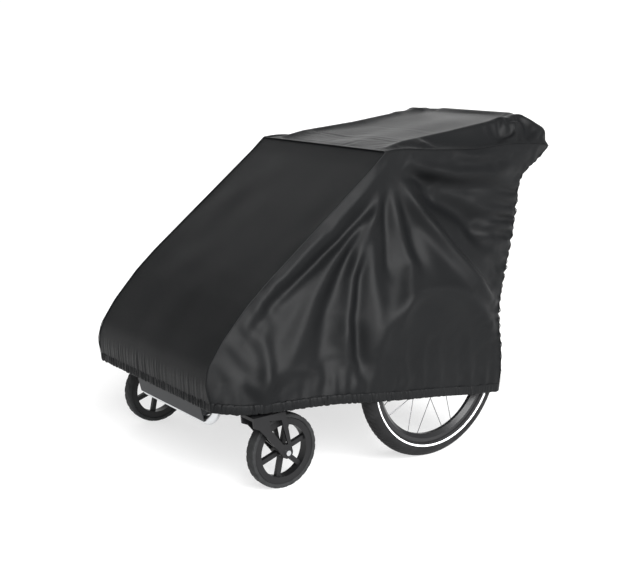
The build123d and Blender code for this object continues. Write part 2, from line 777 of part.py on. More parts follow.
roof_z = roof_front[1] - cabin_inset - fabric
cabin_rear_top_y = roof_rear[0] - cabin_inset
cabin_rear_foot_y = hoop_foot_y - cabin_inset
with BuildPart() as cabin_roof:
    with Locations(((0, (roof_bar_front_y + cabin_rear_top_y) / 2 - crossbar_radius, roof_z))):
        Box(
            2 * cabin_half_width,
            cabin_rear_top_y - roof_bar_front_y,
            fabric,
            align=up,
        )
save(cabin_roof.part, "cabin_roof")

with BuildPart() as cabin_back:
    with BuildSketch(Plane.YZ):
        with BuildLine():
            Polyline(
                (cabin_rear_top_y, roof_z),
                (cabin_rear_foot_y, rail_z + rail_radius),
                (cabin_rear_foot_y - fabric, rail_z + rail_radius),
                (cabin_rear_top_y - fabric, roof_z),
                close=True,
            )
        make_face()
    extrude(amount=cabin_half_width, both=True)
save(cabin_back.part, "cabin_back")

# The front screen is rolled up and tied below the front roof tube
with BuildPart() as rolled_screen:
    with Locations(across(0, *screen_roll)):
        Cylinder(screen_roll_radius, 2 * (cabin_half_width - cabin_side_gap))
save(rolled_screen.part, "rolled_screen")

with BuildPart() as seat_base:
    with Locations((0, (seat_front_y + seat_rear_y) / 2, seat_bottom_z)):
        Box(2 * seat_half_width, seat_rear_y - seat_front_y, seat_thickness, align=up)
    fillet(seat_base.edges().filter_by(Axis.X), radius=seat_thickness / 4)
save(seat_base.part, "seat_base")

seat_face = Plane(
    origin=(0, seat_rear_y, seat_top_z + joint_gap),
    x_dir=(1, 0, 0),
    z_dir=(0, -cos(radians(seat_back_lean)), sin(radians(seat_back_lean))),
)
with BuildPart() as seat_back:
    with BuildSketch(seat_face.offset(-seat_back_thickness)):
        with Locations((0, seat_back_height / 2)):
            Rectangle(2 * seat_half_width, seat_back_height)
    extrude(amount=seat_back_thickness)
    fillet(seat_back.edges().filter_by(Axis.X), radius=seat_back_thickness / 4)
save(seat_back.part, "seat_back")

with BuildPart() as harness_straps:
    with BuildSketch(seat_face.offset(joint_gap)):
        for centre in (-child_centre, child_centre):
            with Locations((centre, seat_back_height / 2)):
                with GridLocations(2 * strap_spread, 0, 2, 1):
                    Rectangle(strap_width, strap_length)
    extrude(amount=strap_thickness)
save(harness_straps.part, "harness_straps")

with BuildPart() as harness_buckles:
    with BuildSketch(seat_face.offset(joint_gap)):
        with Locations((0, buckle_height)):
            with GridLocations(2 * child_centre, 0, 2, 1):
                RectangleRounded(buckle_width, buckle_height, buckle_width / 5)
    extrude(amount=buckle_thickness)
save(harness_buckles.part, "harness_buckles")

# --- Storage cover ---------------------------------------------------------------------------

hem_rise = 2 * hem_radius + joint_gap
with BuildPart() as cover_front_panel:
    with BuildSketch(Plane.YZ):
        with BuildLine():
            Polyline(*front_profile[:-1], (front_profile[-1][0], front_profile[-1][1] + hem_rise))
            offset(amount=cover_wall, side=Side.LEFT, kind=Kind.INTERSECTION)
        make_face()
    extrude(amount=seam_half_width - cover_wall - joint_gap, both=True)
save(cover_front_panel.part, "cover_front_panel")

roof_stations = [y for y in cover_sections if y >= front_profile[0][0]]
with BuildPart() as cover_top_panel:
    for y in roof_stations:
        (seam_x, seam_z), (ridge_x, ridge_z), _, _ = cover_sections[y]
        edge_x = seam_x - cover_wall - joint_gap
        start_y = y + cover_wall + joint_gap if y == roof_stations[0] else y
        with BuildSketch(station(start_y)):
            with BuildLine():
                Polyline(
                    (-edge_x, seam_z),
                    (-ridge_x, ridge_z),
                    (ridge_x, ridge_z),
                    (edge_x, seam_z),
                    (edge_x, seam_z - cover_wall),
                    (ridge_x, ridge_z - cover_wall),
                    (-ridge_x, ridge_z - cover_wall),
                    (-edge_x, seam_z - cover_wall),
                    close=True,
                )
            make_face()
    loft(ruled=True)
save(cover_top_panel.part, "cover_top_panel")

with BuildPart() as cover_side:
    for y, (seam, _, side_break, foot) in cover_sections.items():
        foot_z = foot[1] + hem_rise if y <= hem_rear_y else foot[1]
        with BuildSketch(station(y)):
            with BuildLine():
                Polyline(
                    seam,
                    side_break,
                    (foot[0], foot_z),
                    (foot[0] - cover_wall, foot_z),
                    (side_break[0] - cover_wall, side_break[1]),
                    (seam[0] - cover_wall, seam[1]),
                    close=True,
                )
            make_face()
    loft(ruled=True)
save_pair(cover_side, "cover_side")

# The back rises from the rear hem, turns out under the handlebar and closes the tail
with BuildPart() as cover_back_panel:
    for y, depth in back_depths.items():
        foot_x, foot_z = cover_sections[y][3]
        rise = hem_rise if y <= hem_rear_y else 0
        half_width = foot_x - cover_wall - joint_gap
        with BuildSketch(station(y)):
            with Locations((0, foot_z + rise + depth / 2)):
                Rectangle(2 * half_width, depth)
    loft(ruled=True)
    tail_y = roof_stations[-1]
    seam, ridge, side_break, foot = cover_sections[tail_y]
    left_edge = [foot, side_break, seam, ridge]
    with BuildSketch(station(tail_y)):
        with BuildLine():
            Polyline(*left_edge, *[(-x, z) for x, z in reversed(left_edge)], close=True)
        make_face()
    extrude(amount=-cover_wall)
save(cover_back_panel.part, "cover_back_panel")

# The elastic hem runs round the lower edge as one closed roll, mirrored about the middle
front_y, front_z = front_profile[-1]
hem_feet = {y: foot for y, (_, _, _, foot) in cover_sections.items() if nose_face_y < y <= hem_rear_y}
hem_points = [(foot_x, y, foot_z + hem_radius) for y, (foot_x, foot_z) in hem_feet.items()]
hem_points.insert(0, (seam_half_width, front_y, front_z + hem_radius))
hem_points.insert(0, (0, front_y, front_z + hem_radius))
hem_points.append((0, hem_rear_y, hem_points[-1][2]))
with BuildPart() as cover_hem:
    with BuildLine() as hem_path:
        FilletPolyline(*hem_points, radius=2.5 * hem_radius)
    with BuildSketch(Plane(origin=hem_path.line @ 0, z_dir=hem_path.line % 0)):
        Circle(hem_radius)
    sweep(path=hem_path.line)
    mirror(about=Plane.YZ)
save(cover_hem.part, "cover_hem")
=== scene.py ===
import math

import bpy
import numpy as np
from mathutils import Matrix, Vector


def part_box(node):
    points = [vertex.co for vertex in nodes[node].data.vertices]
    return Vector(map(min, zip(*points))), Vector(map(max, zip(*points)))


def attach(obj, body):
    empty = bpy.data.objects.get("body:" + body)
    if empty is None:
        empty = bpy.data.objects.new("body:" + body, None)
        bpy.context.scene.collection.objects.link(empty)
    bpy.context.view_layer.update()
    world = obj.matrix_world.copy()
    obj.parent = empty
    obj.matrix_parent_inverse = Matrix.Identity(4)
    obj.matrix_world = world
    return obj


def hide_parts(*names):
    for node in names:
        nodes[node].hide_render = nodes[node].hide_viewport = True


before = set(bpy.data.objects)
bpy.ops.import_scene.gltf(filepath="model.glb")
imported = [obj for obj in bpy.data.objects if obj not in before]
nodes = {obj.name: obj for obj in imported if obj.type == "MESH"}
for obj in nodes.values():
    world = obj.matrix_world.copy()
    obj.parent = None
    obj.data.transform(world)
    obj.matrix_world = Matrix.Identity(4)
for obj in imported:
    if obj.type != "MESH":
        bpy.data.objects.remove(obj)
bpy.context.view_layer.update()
scene = bpy.context.scene
scene.view_settings.view_transform = "Standard"

# camera, floor and light

studio = {
    "cameraPlace": (2.6217, -2.0064, 1.1447),
    "azimuth": 53.0,
    "elevation": 12.51,
    "lens": 63.55,
}


def lookAlong(azimuth, elevation):
    # azimuth 0 looks along +Y, and elevation is above the horizon
    a, e = math.radians(azimuth), math.radians(elevation)
    back = Vector((math.sin(a) * math.cos(e), -math.cos(a) * math.cos(e), math.sin(e)))
    return (-back).to_track_quat("-Z", "Y")


cameraData = bpy.data.cameras.new("studioCamera")
cameraData.lens = studio["lens"]
cameraData.sensor_width = 36
cameraObject = bpy.data.objects.new("studioCamera", cameraData)
cameraObject.location = studio["cameraPlace"]
cameraObject.rotation_mode = "QUATERNION"
cameraObject.rotation_quaternion = lookAlong(studio["azimuth"], studio["elevation"])
scene.collection.objects.link(cameraObject)
scene.camera = cameraObject


def softRoom(horizon, above, fade):
    # the room is bright up to a little over the horizon, and dim above, so the top light shapes the folds
    world = bpy.data.worlds.new("softRoom")
    world.use_nodes = True
    tree = world.node_tree
    place = tree.nodes.new("ShaderNodeTexCoord")
    split = tree.nodes.new("ShaderNodeSeparateXYZ")
    ramp = tree.nodes.new("ShaderNodeMapRange")
    ramp.interpolation_type = "SMOOTHSTEP"
    levels = {"From Min": fade[0], "From Max": fade[1], "To Min": horizon, "To Max": above}
    for socket, value in levels.items():
        ramp.inputs[socket].default_value = value
    tree.links.new(place.outputs["Generated"], split.inputs[0])
    tree.links.new(split.outputs["Z"], ramp.inputs["Value"])
    tree.links.new(ramp.outputs[0], tree.nodes["Background"].inputs["Strength"])
    tree.nodes["Background"].inputs["Color"].default_value = (1, 1, 1, 1)
    scene.world = world


def softSun(name, towards, strength, spread):
    lamp = bpy.data.lights.new(name, "SUN")
    lamp.energy, lamp.angle = strength, spread
    holder = bpy.data.objects.new(name, lamp)
    holder.rotation_mode = "QUATERNION"
    holder.rotation_quaternion = Vector(towards).to_track_quat("Z", "Y")
    scene.collection.objects.link(holder)


softRoom(1.05, 0.42, (0.08, 0.35))
softSun("keySun", (0.84, -0.12, 0.54), 7.6, 0.85)
softSun("rimSun", (-0.78, 0.5, 0.34), 0.6, 0.8)
print("camera and lights ready")

# materials: one class wraps a socket, and one makes the nodes


class Wire:
    # an output socket that can be used in sums; each operation adds one Math node
    def __init__(self, look, socket):
        self.look, self.socket = look, socket

    def __add__(self, other):
        return self.look.math("ADD", self, other)

    def __sub__(self, other):
        return self.look.math("SUBTRACT", self, other)

    def __rsub__(self, other):
        return self.look.math("SUBTRACT", other, self)

    def __mul__(self, other):
        return self.look.math("MULTIPLY", self, other)

    def __truediv__(self, other):
        return self.look.math("DIVIDE", self, other)

    def __pow__(self, other):
        return self.look.math("POWER", self, other)

    __radd__ = __add__
    __rmul__ = __mul__


class Look:
    # a material with its Principled shader and the few node recipes that the finishes share
    def __init__(self, name, **constants):
        self.material = bpy.data.materials.new(name)
        self.material.use_nodes = True
        self.tree = self.material.node_tree
        self.shader = self.tree.nodes["Principled BSDF"]
        for socket, value in constants.items():
            self.shader.inputs[socket.replace("_", " ")].default_value = value

    def feed(self, socket, value):
        if isinstance(value, Wire):
            self.tree.links.new(value.socket, socket)
        elif socket.type == "RGBA" and hasattr(value, "__len__"):
            socket.default_value = (*value, 1.0)
        else:
            socket.default_value = value

    def node(self, kind, settings=None, inputs=None, out=0):
        made = self.tree.nodes.new(kind)
        for key, value in (settings or {}).items():
            if key == "stops":
                for k, (place, shade) in enumerate(value):
                    stop = made.color_ramp.elements[k] if k < 2 else made.color_ramp.elements.new(place)
                    stop.position, stop.color = place, (*shade, 1.0)
            else:
                setattr(made, key, value)
        for key, value in (inputs or {}).items():
            self.feed(made.inputs[key], value)
        return Wire(self, made.outputs[out])

    def math(self, operation, a, b=0.0, clamp=False):
        return self.node("ShaderNodeMath", {"operation": operation, "use_clamp": clamp}, {0: a, 1: b})

    def place(self):
        return self.node("ShaderNodeTexCoord", out=3)

    def sheetPlace(self):
        return self.node("ShaderNodeUVMap", {"uv_map": "sheet"})

    def split(self, vector):
        return [self.node("ShaderNodeSeparateXYZ", None, {0: vector}, out=k) for k in range(3)]

    def noise(self, vector, scale, detail=3.0, rough=0.55):
        return self.node("ShaderNodeTexNoise", None,
                         {"Vector": vector, "Scale": scale, "Detail": detail, "Roughness": rough})

    def stretched(self, vector, scale):
        return self.node("ShaderNodeMapping", None, {"Vector": vector, "Scale": scale})

    def spread(self, value, low, high):
        # 0 below low, 1 above high, smooth between
        return self.node("ShaderNodeMapRange", {"interpolation_type": "SMOOTHSTEP"},
                         {"Value": value, "From Min": low, "From Max": high})

    def blend(self, share, a, b):
        return self.node("ShaderNodeMix", {"data_type": "RGBA"}, {0: share, 6: a, 7: b}, out=2)

    def ripple(self, value, length):
        # one sine wave each length, from 0 to 1
        return self.math("SINE", value * (2 * math.pi / length)) * 0.5 + 0.5

    def raise_(self, height, strength, distance):
        bump = self.node("ShaderNodeBump", None,
                         {"Height": height, "Strength": strength, "Distance": distance})
        self.feed(self.shader.inputs["Normal"], bump)

    def colour(self, value):
        self.feed(self.shader.inputs["Base Color"], value)

    def rough(self, value):
        self.feed(self.shader.inputs["Roughness"], value)


def wovenLook(name, dark, light, thread=0.0011, weave=0.35, rough=0.5, sheen=0.25, gloss=0.35):
    # plain weave: two sine ribs that take turns on top, over broad tone drifts
    look = Look(name, Sheen_Weight=sheen, Sheen_Roughness=0.45, Specular_IOR_Level=gloss)
    u, v, _ = look.split(look.sheetPlace())
    warp, weft = look.ripple(u, thread), look.ripple(v, thread)
    over = look.ripple(u + v, 2 * thread)
    threads = warp * over + weft * (1 - over)
    place = look.place()
    drift = look.noise(place, 5.0, 2.0)
    slub = look.noise(look.stretched(look.sheetPlace(), (60, 1400, 1)), 1.0, 1.0)
    tone = drift * 0.55 + slub * 0.2 + threads * 0.25
    look.colour(look.blend(look.spread(tone, 0.2, 0.8), dark, light))
    look.rough(rough - 0.1 + drift * 0.12 + threads * 0.06)
    look.raise_(threads * 0.5 + slub * 0.5, weave, thread * 0.35)
    return look.material


def mouldedLook(name, dark, light, grain=900, rough=0.45, bump=0.12, metal=0.0, wear=0.15, gloss=0.25):
    # moulded plastic or powder coat: fine grain, a slow tone drift and a few rubbed places
    look = Look(name, Metallic=metal, Specular_IOR_Level=gloss)
    place = look.place()
    fine = look.noise(place, grain, 2.0)
    slow = look.noise(place, 9.0, 3.0)
    rubbed = look.spread(look.noise(place, 38.0, 5.0, 0.7), 0.62, 0.78) * wear
    look.colour(look.blend(look.math("ADD", slow * 0.7, rubbed, True), dark, light))
    look.rough(rough - 0.08 + slow * 0.12 + fine * 0.06 - rubbed * 0.1)
    look.raise_(fine, bump, 0.0004)
    return look.material


def alloyLook(name, dark, light, along=(900, 25, 900), rough=0.32):
    # drawn tube: fine lines along its length under a clear anodised skin
    look = Look(name, Metallic=1.0)
    place = look.place()
    lines = look.noise(look.stretched(place, along), 1.0, 2.0)
    slow = look.noise(place, 6.0, 3.0)
    look.colour(look.blend(lines * 0.5 + slow * 0.5, dark, light))
    look.rough(rough - 0.08 + lines * 0.12 + slow * 0.08)
    look.raise_(lines, 0.05, 0.0003)
    return look.material


def rubberLook(name, dark, light, rough=0.62):
    # rubber: matt, with fine moulding grain and dusty patches
    look = Look(name, Specular_IOR_Level=0.35)
    place = look.place()
    grain = look.noise(place, 1300, 2.0)
    dust = look.noise(place, 22.0, 5.0, 0.65)
    look.colour(look.blend(look.spread(dust, 0.35, 0.75), dark, light))
    look.rough(rough + dust * 0.15 - 0.05)
    look.raise_(grain, 0.15, 0.0003)
    return look.material


coverCloth = wovenLook("coverCloth", (0.0035, 0.0038, 0.0042), (0.0065, 0.0068, 0.0072),
                       rough=0.47, sheen=0.0, gloss=0.1)
hemCloth = wovenLook("hemCloth", (0.0035, 0.0038, 0.0042), (0.008, 0.0083, 0.0087),
                     thread=0.0014, rough=0.5, sheen=0.0, weave=0.5, gloss=0.1)
silver = alloyLook("frameAlloy", (0.52, 0.53, 0.54), (0.72, 0.73, 0.74))
blackAlloy = mouldedLook("blackAlloy", (0.006, 0.006, 0.0065), (0.016, 0.016, 0.017),
                         rough=0.34, gloss=0.35)
blackPlastic = mouldedLook("blackPlastic", (0.004, 0.004, 0.0045), (0.012, 0.012, 0.0125),
                           rough=0.45, gloss=0.22)
darkPanel = mouldedLook("darkPanel", (0.022, 0.023, 0.025), (0.036, 0.038, 0.040), rough=0.55)
steelLook = alloyLook("steel", (0.42, 0.43, 0.44), (0.62, 0.63, 0.64), rough=0.3)
spokeSteel = alloyLook("spokeSteel", (0.10, 0.10, 0.105), (0.19, 0.19, 0.195), rough=0.38)
bearingSteel = alloyLook("bearingSteel", (0.5, 0.5, 0.5), (0.7, 0.7, 0.7), rough=0.22)
gripFoam = rubberLook("gripFoam", (0.014, 0.014, 0.014), (0.028, 0.028, 0.028), rough=0.8)
buttonPlastic = mouldedLook("buttonPlastic", (0.03, 0.03, 0.032), (0.06, 0.06, 0.062), rough=0.4)
floorLook = mouldedLook("paleFloor", (0.38, 0.38, 0.38), (0.40, 0.40, 0.40),
                        grain=60, rough=0.9, bump=0.0, wear=0.0)
floorGlow = floorLook.node_tree.nodes["Principled BSDF"].inputs  # a lit floor keeps the shadows pale
floorGlow["Emission Color"].default_value = (1, 1, 1, 1)
floorGlow["Emission Strength"].default_value = 0.63
print("materials ready")

# making meshes from arrays


def meshObject(name, points, faces, body, material, sheetUv=None, smooth=True):
    mesh = bpy.data.meshes.new(name)
    mesh.from_pydata(np.asarray(points, float).tolist(), [], np.asarray(faces).tolist())
    if sheetUv is not None:
        layer = mesh.uv_layers.new(name="sheet")
        corners = np.zeros(len(mesh.loops), np.int32)
        mesh.loops.foreach_get("vertex_index", corners)
        layer.data.foreach_set("uv", np.asarray(sheetUv, np.float32)[corners].ravel())
    mesh.polygons.foreach_set("use_smooth", np.full(len(mesh.polygons), smooth))
    mesh.materials.append(material)
    mesh.update()
    piece = bpy.data.objects.new(name, mesh)
    scene.collection.objects.link(piece)
    if body:
        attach(piece, body)
    return piece


def gridFaces(rows, columns, closeRows=False, closeColumns=False, flip=False):
    # quads between neighbouring grid points, going round where a direction closes
    i, j = np.meshgrid(np.arange(rows if closeRows else rows - 1),
                       np.arange(columns if closeColumns else columns - 1), indexing="ij")
    down, right = (i + 1) % rows, (j + 1) % columns
    quads = np.stack([i * columns + j, down * columns + j, down * columns + right, i * columns + right], -1)
    quads = quads.reshape(-1, 4)
    return quads[:, ::-1] if flip else quads


def signedVolume(points, faces):
    # a closed shape's volume, negative where its faces point inwards
    a, b, c, d = (points[faces[:, k]] for k in range(4))
    return (np.einsum("ij,ij->i", a, np.cross(b, c)) + np.einsum("ij,ij->i", a, np.cross(c, d))).sum() / 6


def outwardFaces(points, faces):
    return faces[:, ::-1] if signedVolume(points, faces) < 0 else faces


def smoothStep(value):
    # 0 below 0, 1 above 1, and an even curve between
    value = np.clip(value, 0, 1)
    return value * value * (3 - 2 * value)


def bell(value, middle, width, power=2):
    return np.exp(-((value - middle) / width) ** power)


def borderOf(shape):
    # true round the grid's edge, where a panel is sewn
    border = np.ones(shape, bool)
    border[1:-1, 1:-1] = False
    return border


def unit(vectors):
    return vectors / np.linalg.norm(vectors, axis=-1, keepdims=True)


def arcSteps(points):
    gaps = np.linalg.norm(np.diff(points, axis=0), axis=1)
    return np.concatenate([[0], np.cumsum(gaps)])


def evenLine(points, count, soften=0.0, fineSteps=1500):
    # even steps along straight runs through the points; soften rounds the corners over that length
    points = np.asarray(points, float)
    along = arcSteps(points)
    fine = np.linspace(0, along[-1], fineSteps)
    line = np.stack([np.interp(fine, along, points[:, k]) for k in range(points.shape[1])], 1)
    if soften:
        width = int(soften / along[-1] * fineSteps)
        kernel = np.hanning(2 * width + 3)
        kernel /= kernel.sum()
        before = 2 * line[0] - line[1:width + 2][::-1]
        after = 2 * line[-1] - line[-width - 2:-1][::-1]
        long = np.concatenate([before, line, after])
        line = np.stack([np.convolve(long[:, k], kernel, "valid") for k in range(line.shape[1])], 1)
    along = arcSteps(line)
    return np.stack([np.interp(np.linspace(0, along[-1], count), along, line[:, k])
                     for k in range(line.shape[1])], 1)


def coonsPatch(top, bottom, front, rear):
    # each inner point mixes the four edges by its share across and down, less the corners
    u = np.linspace(0, 1, len(top))[None, :, None]
    v = np.linspace(0, 1, len(front))[:, None, None]
    ruled = (1 - v) * top[None] + v * bottom[None] + (1 - u) * front[:, None] + u * rear[:, None]
    corners = ((1 - u) * (1 - v) * top[0] + u * (1 - v) * top[-1]
               + (1 - u) * v * bottom[0] + u * v * bottom[-1])
    return ruled - corners


def softNoise(shape, cells, seed):
    # smooth random values: a coarse random grid read with cosine steps between its points
    coarse = np.random.default_rng(seed).uniform(-1, 1, (cells[0] + 2, cells[1] + 2))
    y = np.linspace(0, cells[0], shape[0])
    x = np.linspace(0, cells[1], shape[1])
    yi, xi = np.floor(y).astype(int), np.floor(x).astype(int)
    fy = (0.5 - 0.5 * np.cos(np.pi * (y - yi)))[:, None]
    fx = (0.5 - 0.5 * np.cos(np.pi * (x - xi)))[None]
    a, b = coarse[np.ix_(yi, xi)], coarse[np.ix_(yi, xi + 1)]
    c, d = coarse[np.ix_(yi + 1, xi)], coarse[np.ix_(yi + 1, xi + 1)]
    return (a * (1 - fx) + b * fx) * (1 - fy) + (c * (1 - fx) + d * fx) * fy


# cloth: a grid of threads that pull to their cut lengths, hang, and rest on what is inside


def pushFromRods(points, rods):
    # rods are (start, end, radius): a point inside one moves out to its surface
    for start, end, radius in rods:
        start = np.asarray(start, np.float32)
        run = np.asarray(end, np.float32) - start
        share = np.clip(((points - start) @ run) / (run @ run), 0, 1)
        away = points - start - share[..., None] * run
        reach = np.sqrt((away ** 2).sum(-1)) + 1e-9
        short = np.maximum(radius - reach, 0) / reach
        points += away * short[..., None]


def pushFromWheel(points, wheel):
    # a wheel is a disc across X with a round edge, (centre, radius, half width): cloth that hangs
    # over it moves out to its outer face
    centre, radius, half = wheel
    outwards = np.sqrt((points[..., 1] - centre[1]) ** 2 + (points[..., 2] - centre[2]) ** 2)
    past = np.clip(outwards - (radius - half), 0, half)
    face = np.where(outwards < radius, centre[0] + np.sqrt(np.maximum(half ** 2 - past ** 2, 0)), 0)
    np.maximum(points[..., 0], face, out=points[..., 0])


def threadPairs(shape):
    # neighbours along, across and on both diagonals, in sets that share no point, as grid slices
    rows, cols = shape
    pairs = []
    for axis, kind in ((1, "u"), (0, "v")):
        size = shape[axis]
        for first in (0, 1):
            count = (size - first) // 2
            a, b = slice(first, first + 2 * count, 2), slice(first + 1, first + 1 + 2 * count, 2)
            full = slice(None)
            pairs.append((kind, (full, a) if axis else (a, full), (full, b) if axis else (b, full)))
    for lean in (1, -1):
        for first in (0, 1):
            count = (rows - first) // 2
            a, b = slice(first, first + 2 * count, 2), slice(first + 1, first + 1 + 2 * count, 2)
            left, right = slice(0, cols - 1), slice(1, cols)
            pairs.append(("d", (a, left if lean > 0 else right), (b, right if lean > 0 else left)))
    return pairs


def bendPairs(shape, step):
    # points a few threads apart, in sets that share no point: they resist coming together
    pairs = []
    for axis in (1, 0):
        size = shape[axis]
        for first in range(2 * step):
            if (first // step) % 2:
                continue
            a = np.arange(first, size - step, 2 * step)
            pairs.append((axis, a, a + step))
        for first in range(step, 2 * step):
            a = np.arange(first, size - step, 2 * step)
            if len(a):
                pairs.append((axis, a, a + step))
    return pairs


def pull(points, loose, a, b, rest, strength, onlyPush=False):
    first, second = points[a], points[b]
    gap = second - first
    length = np.sqrt((gap ** 2).sum(-1)) + 1e-9
    wa, wb = loose[a], loose[b]
    share = strength * (length - rest) / (length * (wa + wb + 1e-6))
    if onlyPush:
        share = np.minimum(share, 0)
    gap *= share[..., None]
    points[a] = first + gap * wa[..., None]
    points[b] = second - gap * wb[..., None]


threadRules = {
    "tick": 1 / 60,
    "damping": 0.9,
    "straight": 0.9,
    "diagonal": 0.35,
    "bendReach": 3,
    "bendShare": 0.96,
}


def settle(start, pinned, cutU, cutV, push, steps=45, rounds=9, drop=0.03, stiff=0.3):
    # the grid keeps each thread's cut length (its taut length times the spare), hangs, and is pushed
    # out of what it rests on; pinned points stay
    points = start.astype(np.float32).copy()
    loose = np.where(pinned, 0, 1).astype(np.float32)
    lengths = {}
    spare = (cutU + cutV) / 2
    for number, (kind, a, b) in enumerate(threadPairs(points.shape[:2])):
        taut = np.linalg.norm(start[b] - start[a], axis=-1)
        share = {"u": cutU, "v": cutV, "d": spare}[kind]
        lengths[number] = (taut * (share[a] + share[b]) / 2).astype(np.float32)
    threads = threadPairs(points.shape[:2])
    bends = []
    for axis, a, b in bendPairs(points.shape[:2], threadRules["bendReach"]):
        ia, ib = ((slice(None), a), (slice(None), b)) if axis else ((a, slice(None)), (b, slice(None)))
        chord = np.linalg.norm(start[ib] - start[ia], axis=-1).astype(np.float32)
        bends.append((ia, ib, chord * threadRules["bendShare"]))
    speed = np.zeros_like(points)
    tick = threadRules["tick"]
    strength = {"u": threadRules["straight"], "v": threadRules["straight"], "d": threadRules["diagonal"]}
    for step in range(steps):
        before = points.copy()
        speed[..., 2] -= drop * tick
        points += speed * tick * loose[..., None]
        for turn in range(rounds):
            for number, (kind, a, b) in enumerate(threads):
                pull(points, loose, a, b, lengths[number], strength[kind])
            for a, b, rest in bends:
                pull(points, loose, a, b, rest, stiff, onlyPush=True)
            push(points)
            points[pinned] = before[pinned]
        speed = (points - before) / tick * threadRules["damping"]
    return points.astype(float)


def smoothGrid(points, pinned, push, turns):
    # each free point moves to the middle of its four neighbours, then out of what it rests on
    points = points.astype(np.float32).copy()
    keep = points.copy()
    for _ in range(turns):
        middle = (points[:-2, 1:-1] + points[2:, 1:-1] + points[1:-1, :-2] + points[1:-1, 2:]) / 4
        points[1:-1, 1:-1] = middle
        push(points)
        points[pinned] = keep[pinned]
    return points.astype(float)


# storage cover: two sides, a front, a top and a back, cut separately and sewn along the seams

cover = {
    # seam on the left side, in metres: hem up the nose and front to the roof corner,
    # back along the roof to the tail's tip, and down behind to the rear hem corner
    "frontSeam": ((0.304, -0.602, 0.238), (0.297, -0.613, 0.300), (0.293, -0.603, 0.343),
                  (0.292, -0.559, 0.406), (0.292, -0.485, 0.485), (0.292, -0.424, 0.538),
                  (0.292, -0.252, 0.672), (0.292, -0.074, 0.811), (0.291, -0.032, 0.848)),
    "roofSeam": ((0.291, -0.032, 0.848), (0.291, 0.018, 0.853), (0.293, 0.16, 0.843), (0.293, 0.305, 0.837),
                 (0.294, 0.435, 0.846), (0.295, 0.545, 0.842), (0.292, 0.6, 0.834), (0.278, 0.622, 0.826)),
    "rearSeam": ((0.278, 0.622, 0.826), (0.289, 0.574, 0.798), (0.293, 0.508, 0.760), (0.297, 0.48, 0.735),
                 (0.301, 0.47, 0.674), (0.309, 0.449, 0.59), (0.326, 0.415, 0.52), (0.353, 0.37, 0.455),
                 (0.385, 0.323, 0.393), (0.407, 0.305, 0.33), (0.417, 0.304, 0.283), (0.419, 0.304, 0.21),
                 (0.418, 0.302, 0.152)),
    "sideHem": ((0.304, -0.602, 0.238), (0.322, -0.588, 0.238), (0.345, -0.541, 0.229),
                (0.372, -0.45, 0.228), (0.395, -0.351, 0.229), (0.408, -0.286, 0.227),
                (0.418, -0.203, 0.217), (0.420, -0.081, 0.200), (0.421, 0.066, 0.183), (0.421, 0.2, 0.163),
                (0.418, 0.302, 0.152)),
    # the middle of the top and back panels, as (y, z)
    "middleRoof": ((-0.032, 0.848), (0.079, 0.868), (0.268, 0.887), (0.492, 0.917), (0.591, 0.922),
                   (0.612, 0.905), (0.62, 0.86), (0.622, 0.826)),
    "middleRear": ((0.622, 0.826), (0.626, 0.79), (0.602, 0.74), (0.540, 0.62), (0.458, 0.455),
                   (0.385, 0.29), (0.335, 0.152)),
    "noseHeight": 0.307,
    "insideWall": 0.262,
    "rows": 92,
    "columns": 116,
    "topRows": 84,
    "stripColumns": 80,
    "frontRows": 62,
    "frontColumns": 184,
}

# what the cloth rests on: rods and a disc a little fatter than the wheels, hoops and handlebar inside
skin = 0.004
wheelLow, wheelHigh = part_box("rear_tyre_left")
wheelMiddle = (wheelLow + wheelHigh) / 2
wheelOuter = (wheelHigh.z - wheelLow.z) / 2
tyreHalf = (wheelHigh.x - wheelLow.x) / 2
wheelDisc = (tuple(wheelMiddle), wheelOuter + skin, tyreHalf + skin)
casterRod = ((0.333, -0.468, 0.21), (0.333, -0.468, 0.30), 0.034)
hoopLeg = ((0.268, 0.150, 0.83), (0.268, 0.200, 0.29), 0.0175)
handleRods = [
    ((-0.262, -0.02, 0.830), (0.262, -0.02, 0.830), 0.018),
    ((-0.262, 0.096, 0.832), (0.262, 0.096, 0.832), 0.016),
]
legLine = ((0.243, -0.02, 0.832), (0.232, 0.079, 0.853), (0.222, 0.268, 0.872), (0.220, 0.47, 0.898),
           (0.219, 0.515, 0.901), (0.2, 0.565, 0.903), (0.15, 0.585, 0.905))
for hand in (1, -1):
    leg = [(hand * x, y, z) for x, y, z in legLine]
    handleRods += [(a, b, 0.016) for a, b in zip(leg, leg[1:])]
    handleRods.append(((hand * 0.236, 0.13, 0.846), (hand * 0.258, 0.13, 0.846), 0.0195))
handleRods.append(((-0.150, 0.585, 0.905), (0.150, 0.585, 0.905), 0.018))
# the back panel clears the same bar tilted as low as it goes, and lies on the tyres: short rods
# follow the rear arc of each tyre's middle
backRods = [((-0.2, 0.588, 0.804), (0.2, 0.588, 0.804), 0.024)]
arcRadius = wheelOuter - tyreHalf
for hand in (1, -1):
    arc = [(hand * wheelMiddle.x, wheelMiddle.y + arcRadius * math.cos(turn),
            wheelMiddle.z + arcRadius * math.sin(turn)) for turn in np.radians(np.arange(-50, 51, 10))]
    backRods += [(a, b, tyreHalf + skin) for a, b in zip(arc, arc[1:])]


def keepSideOut(points):
    # the side cloth stays outside the cabin, the wheel, the caster's post and the hoop's leg
    np.maximum(points[..., 0], cover["insideWall"], out=points[..., 0])
    pushFromWheel(points, wheelDisc)
    pushFromRods(points, [casterRod, hoopLeg])


def keepTopOut(points):
    pushFromRods(points, handleRods)


def keepBackOut(points):
    pushFromRods(points, backRods)


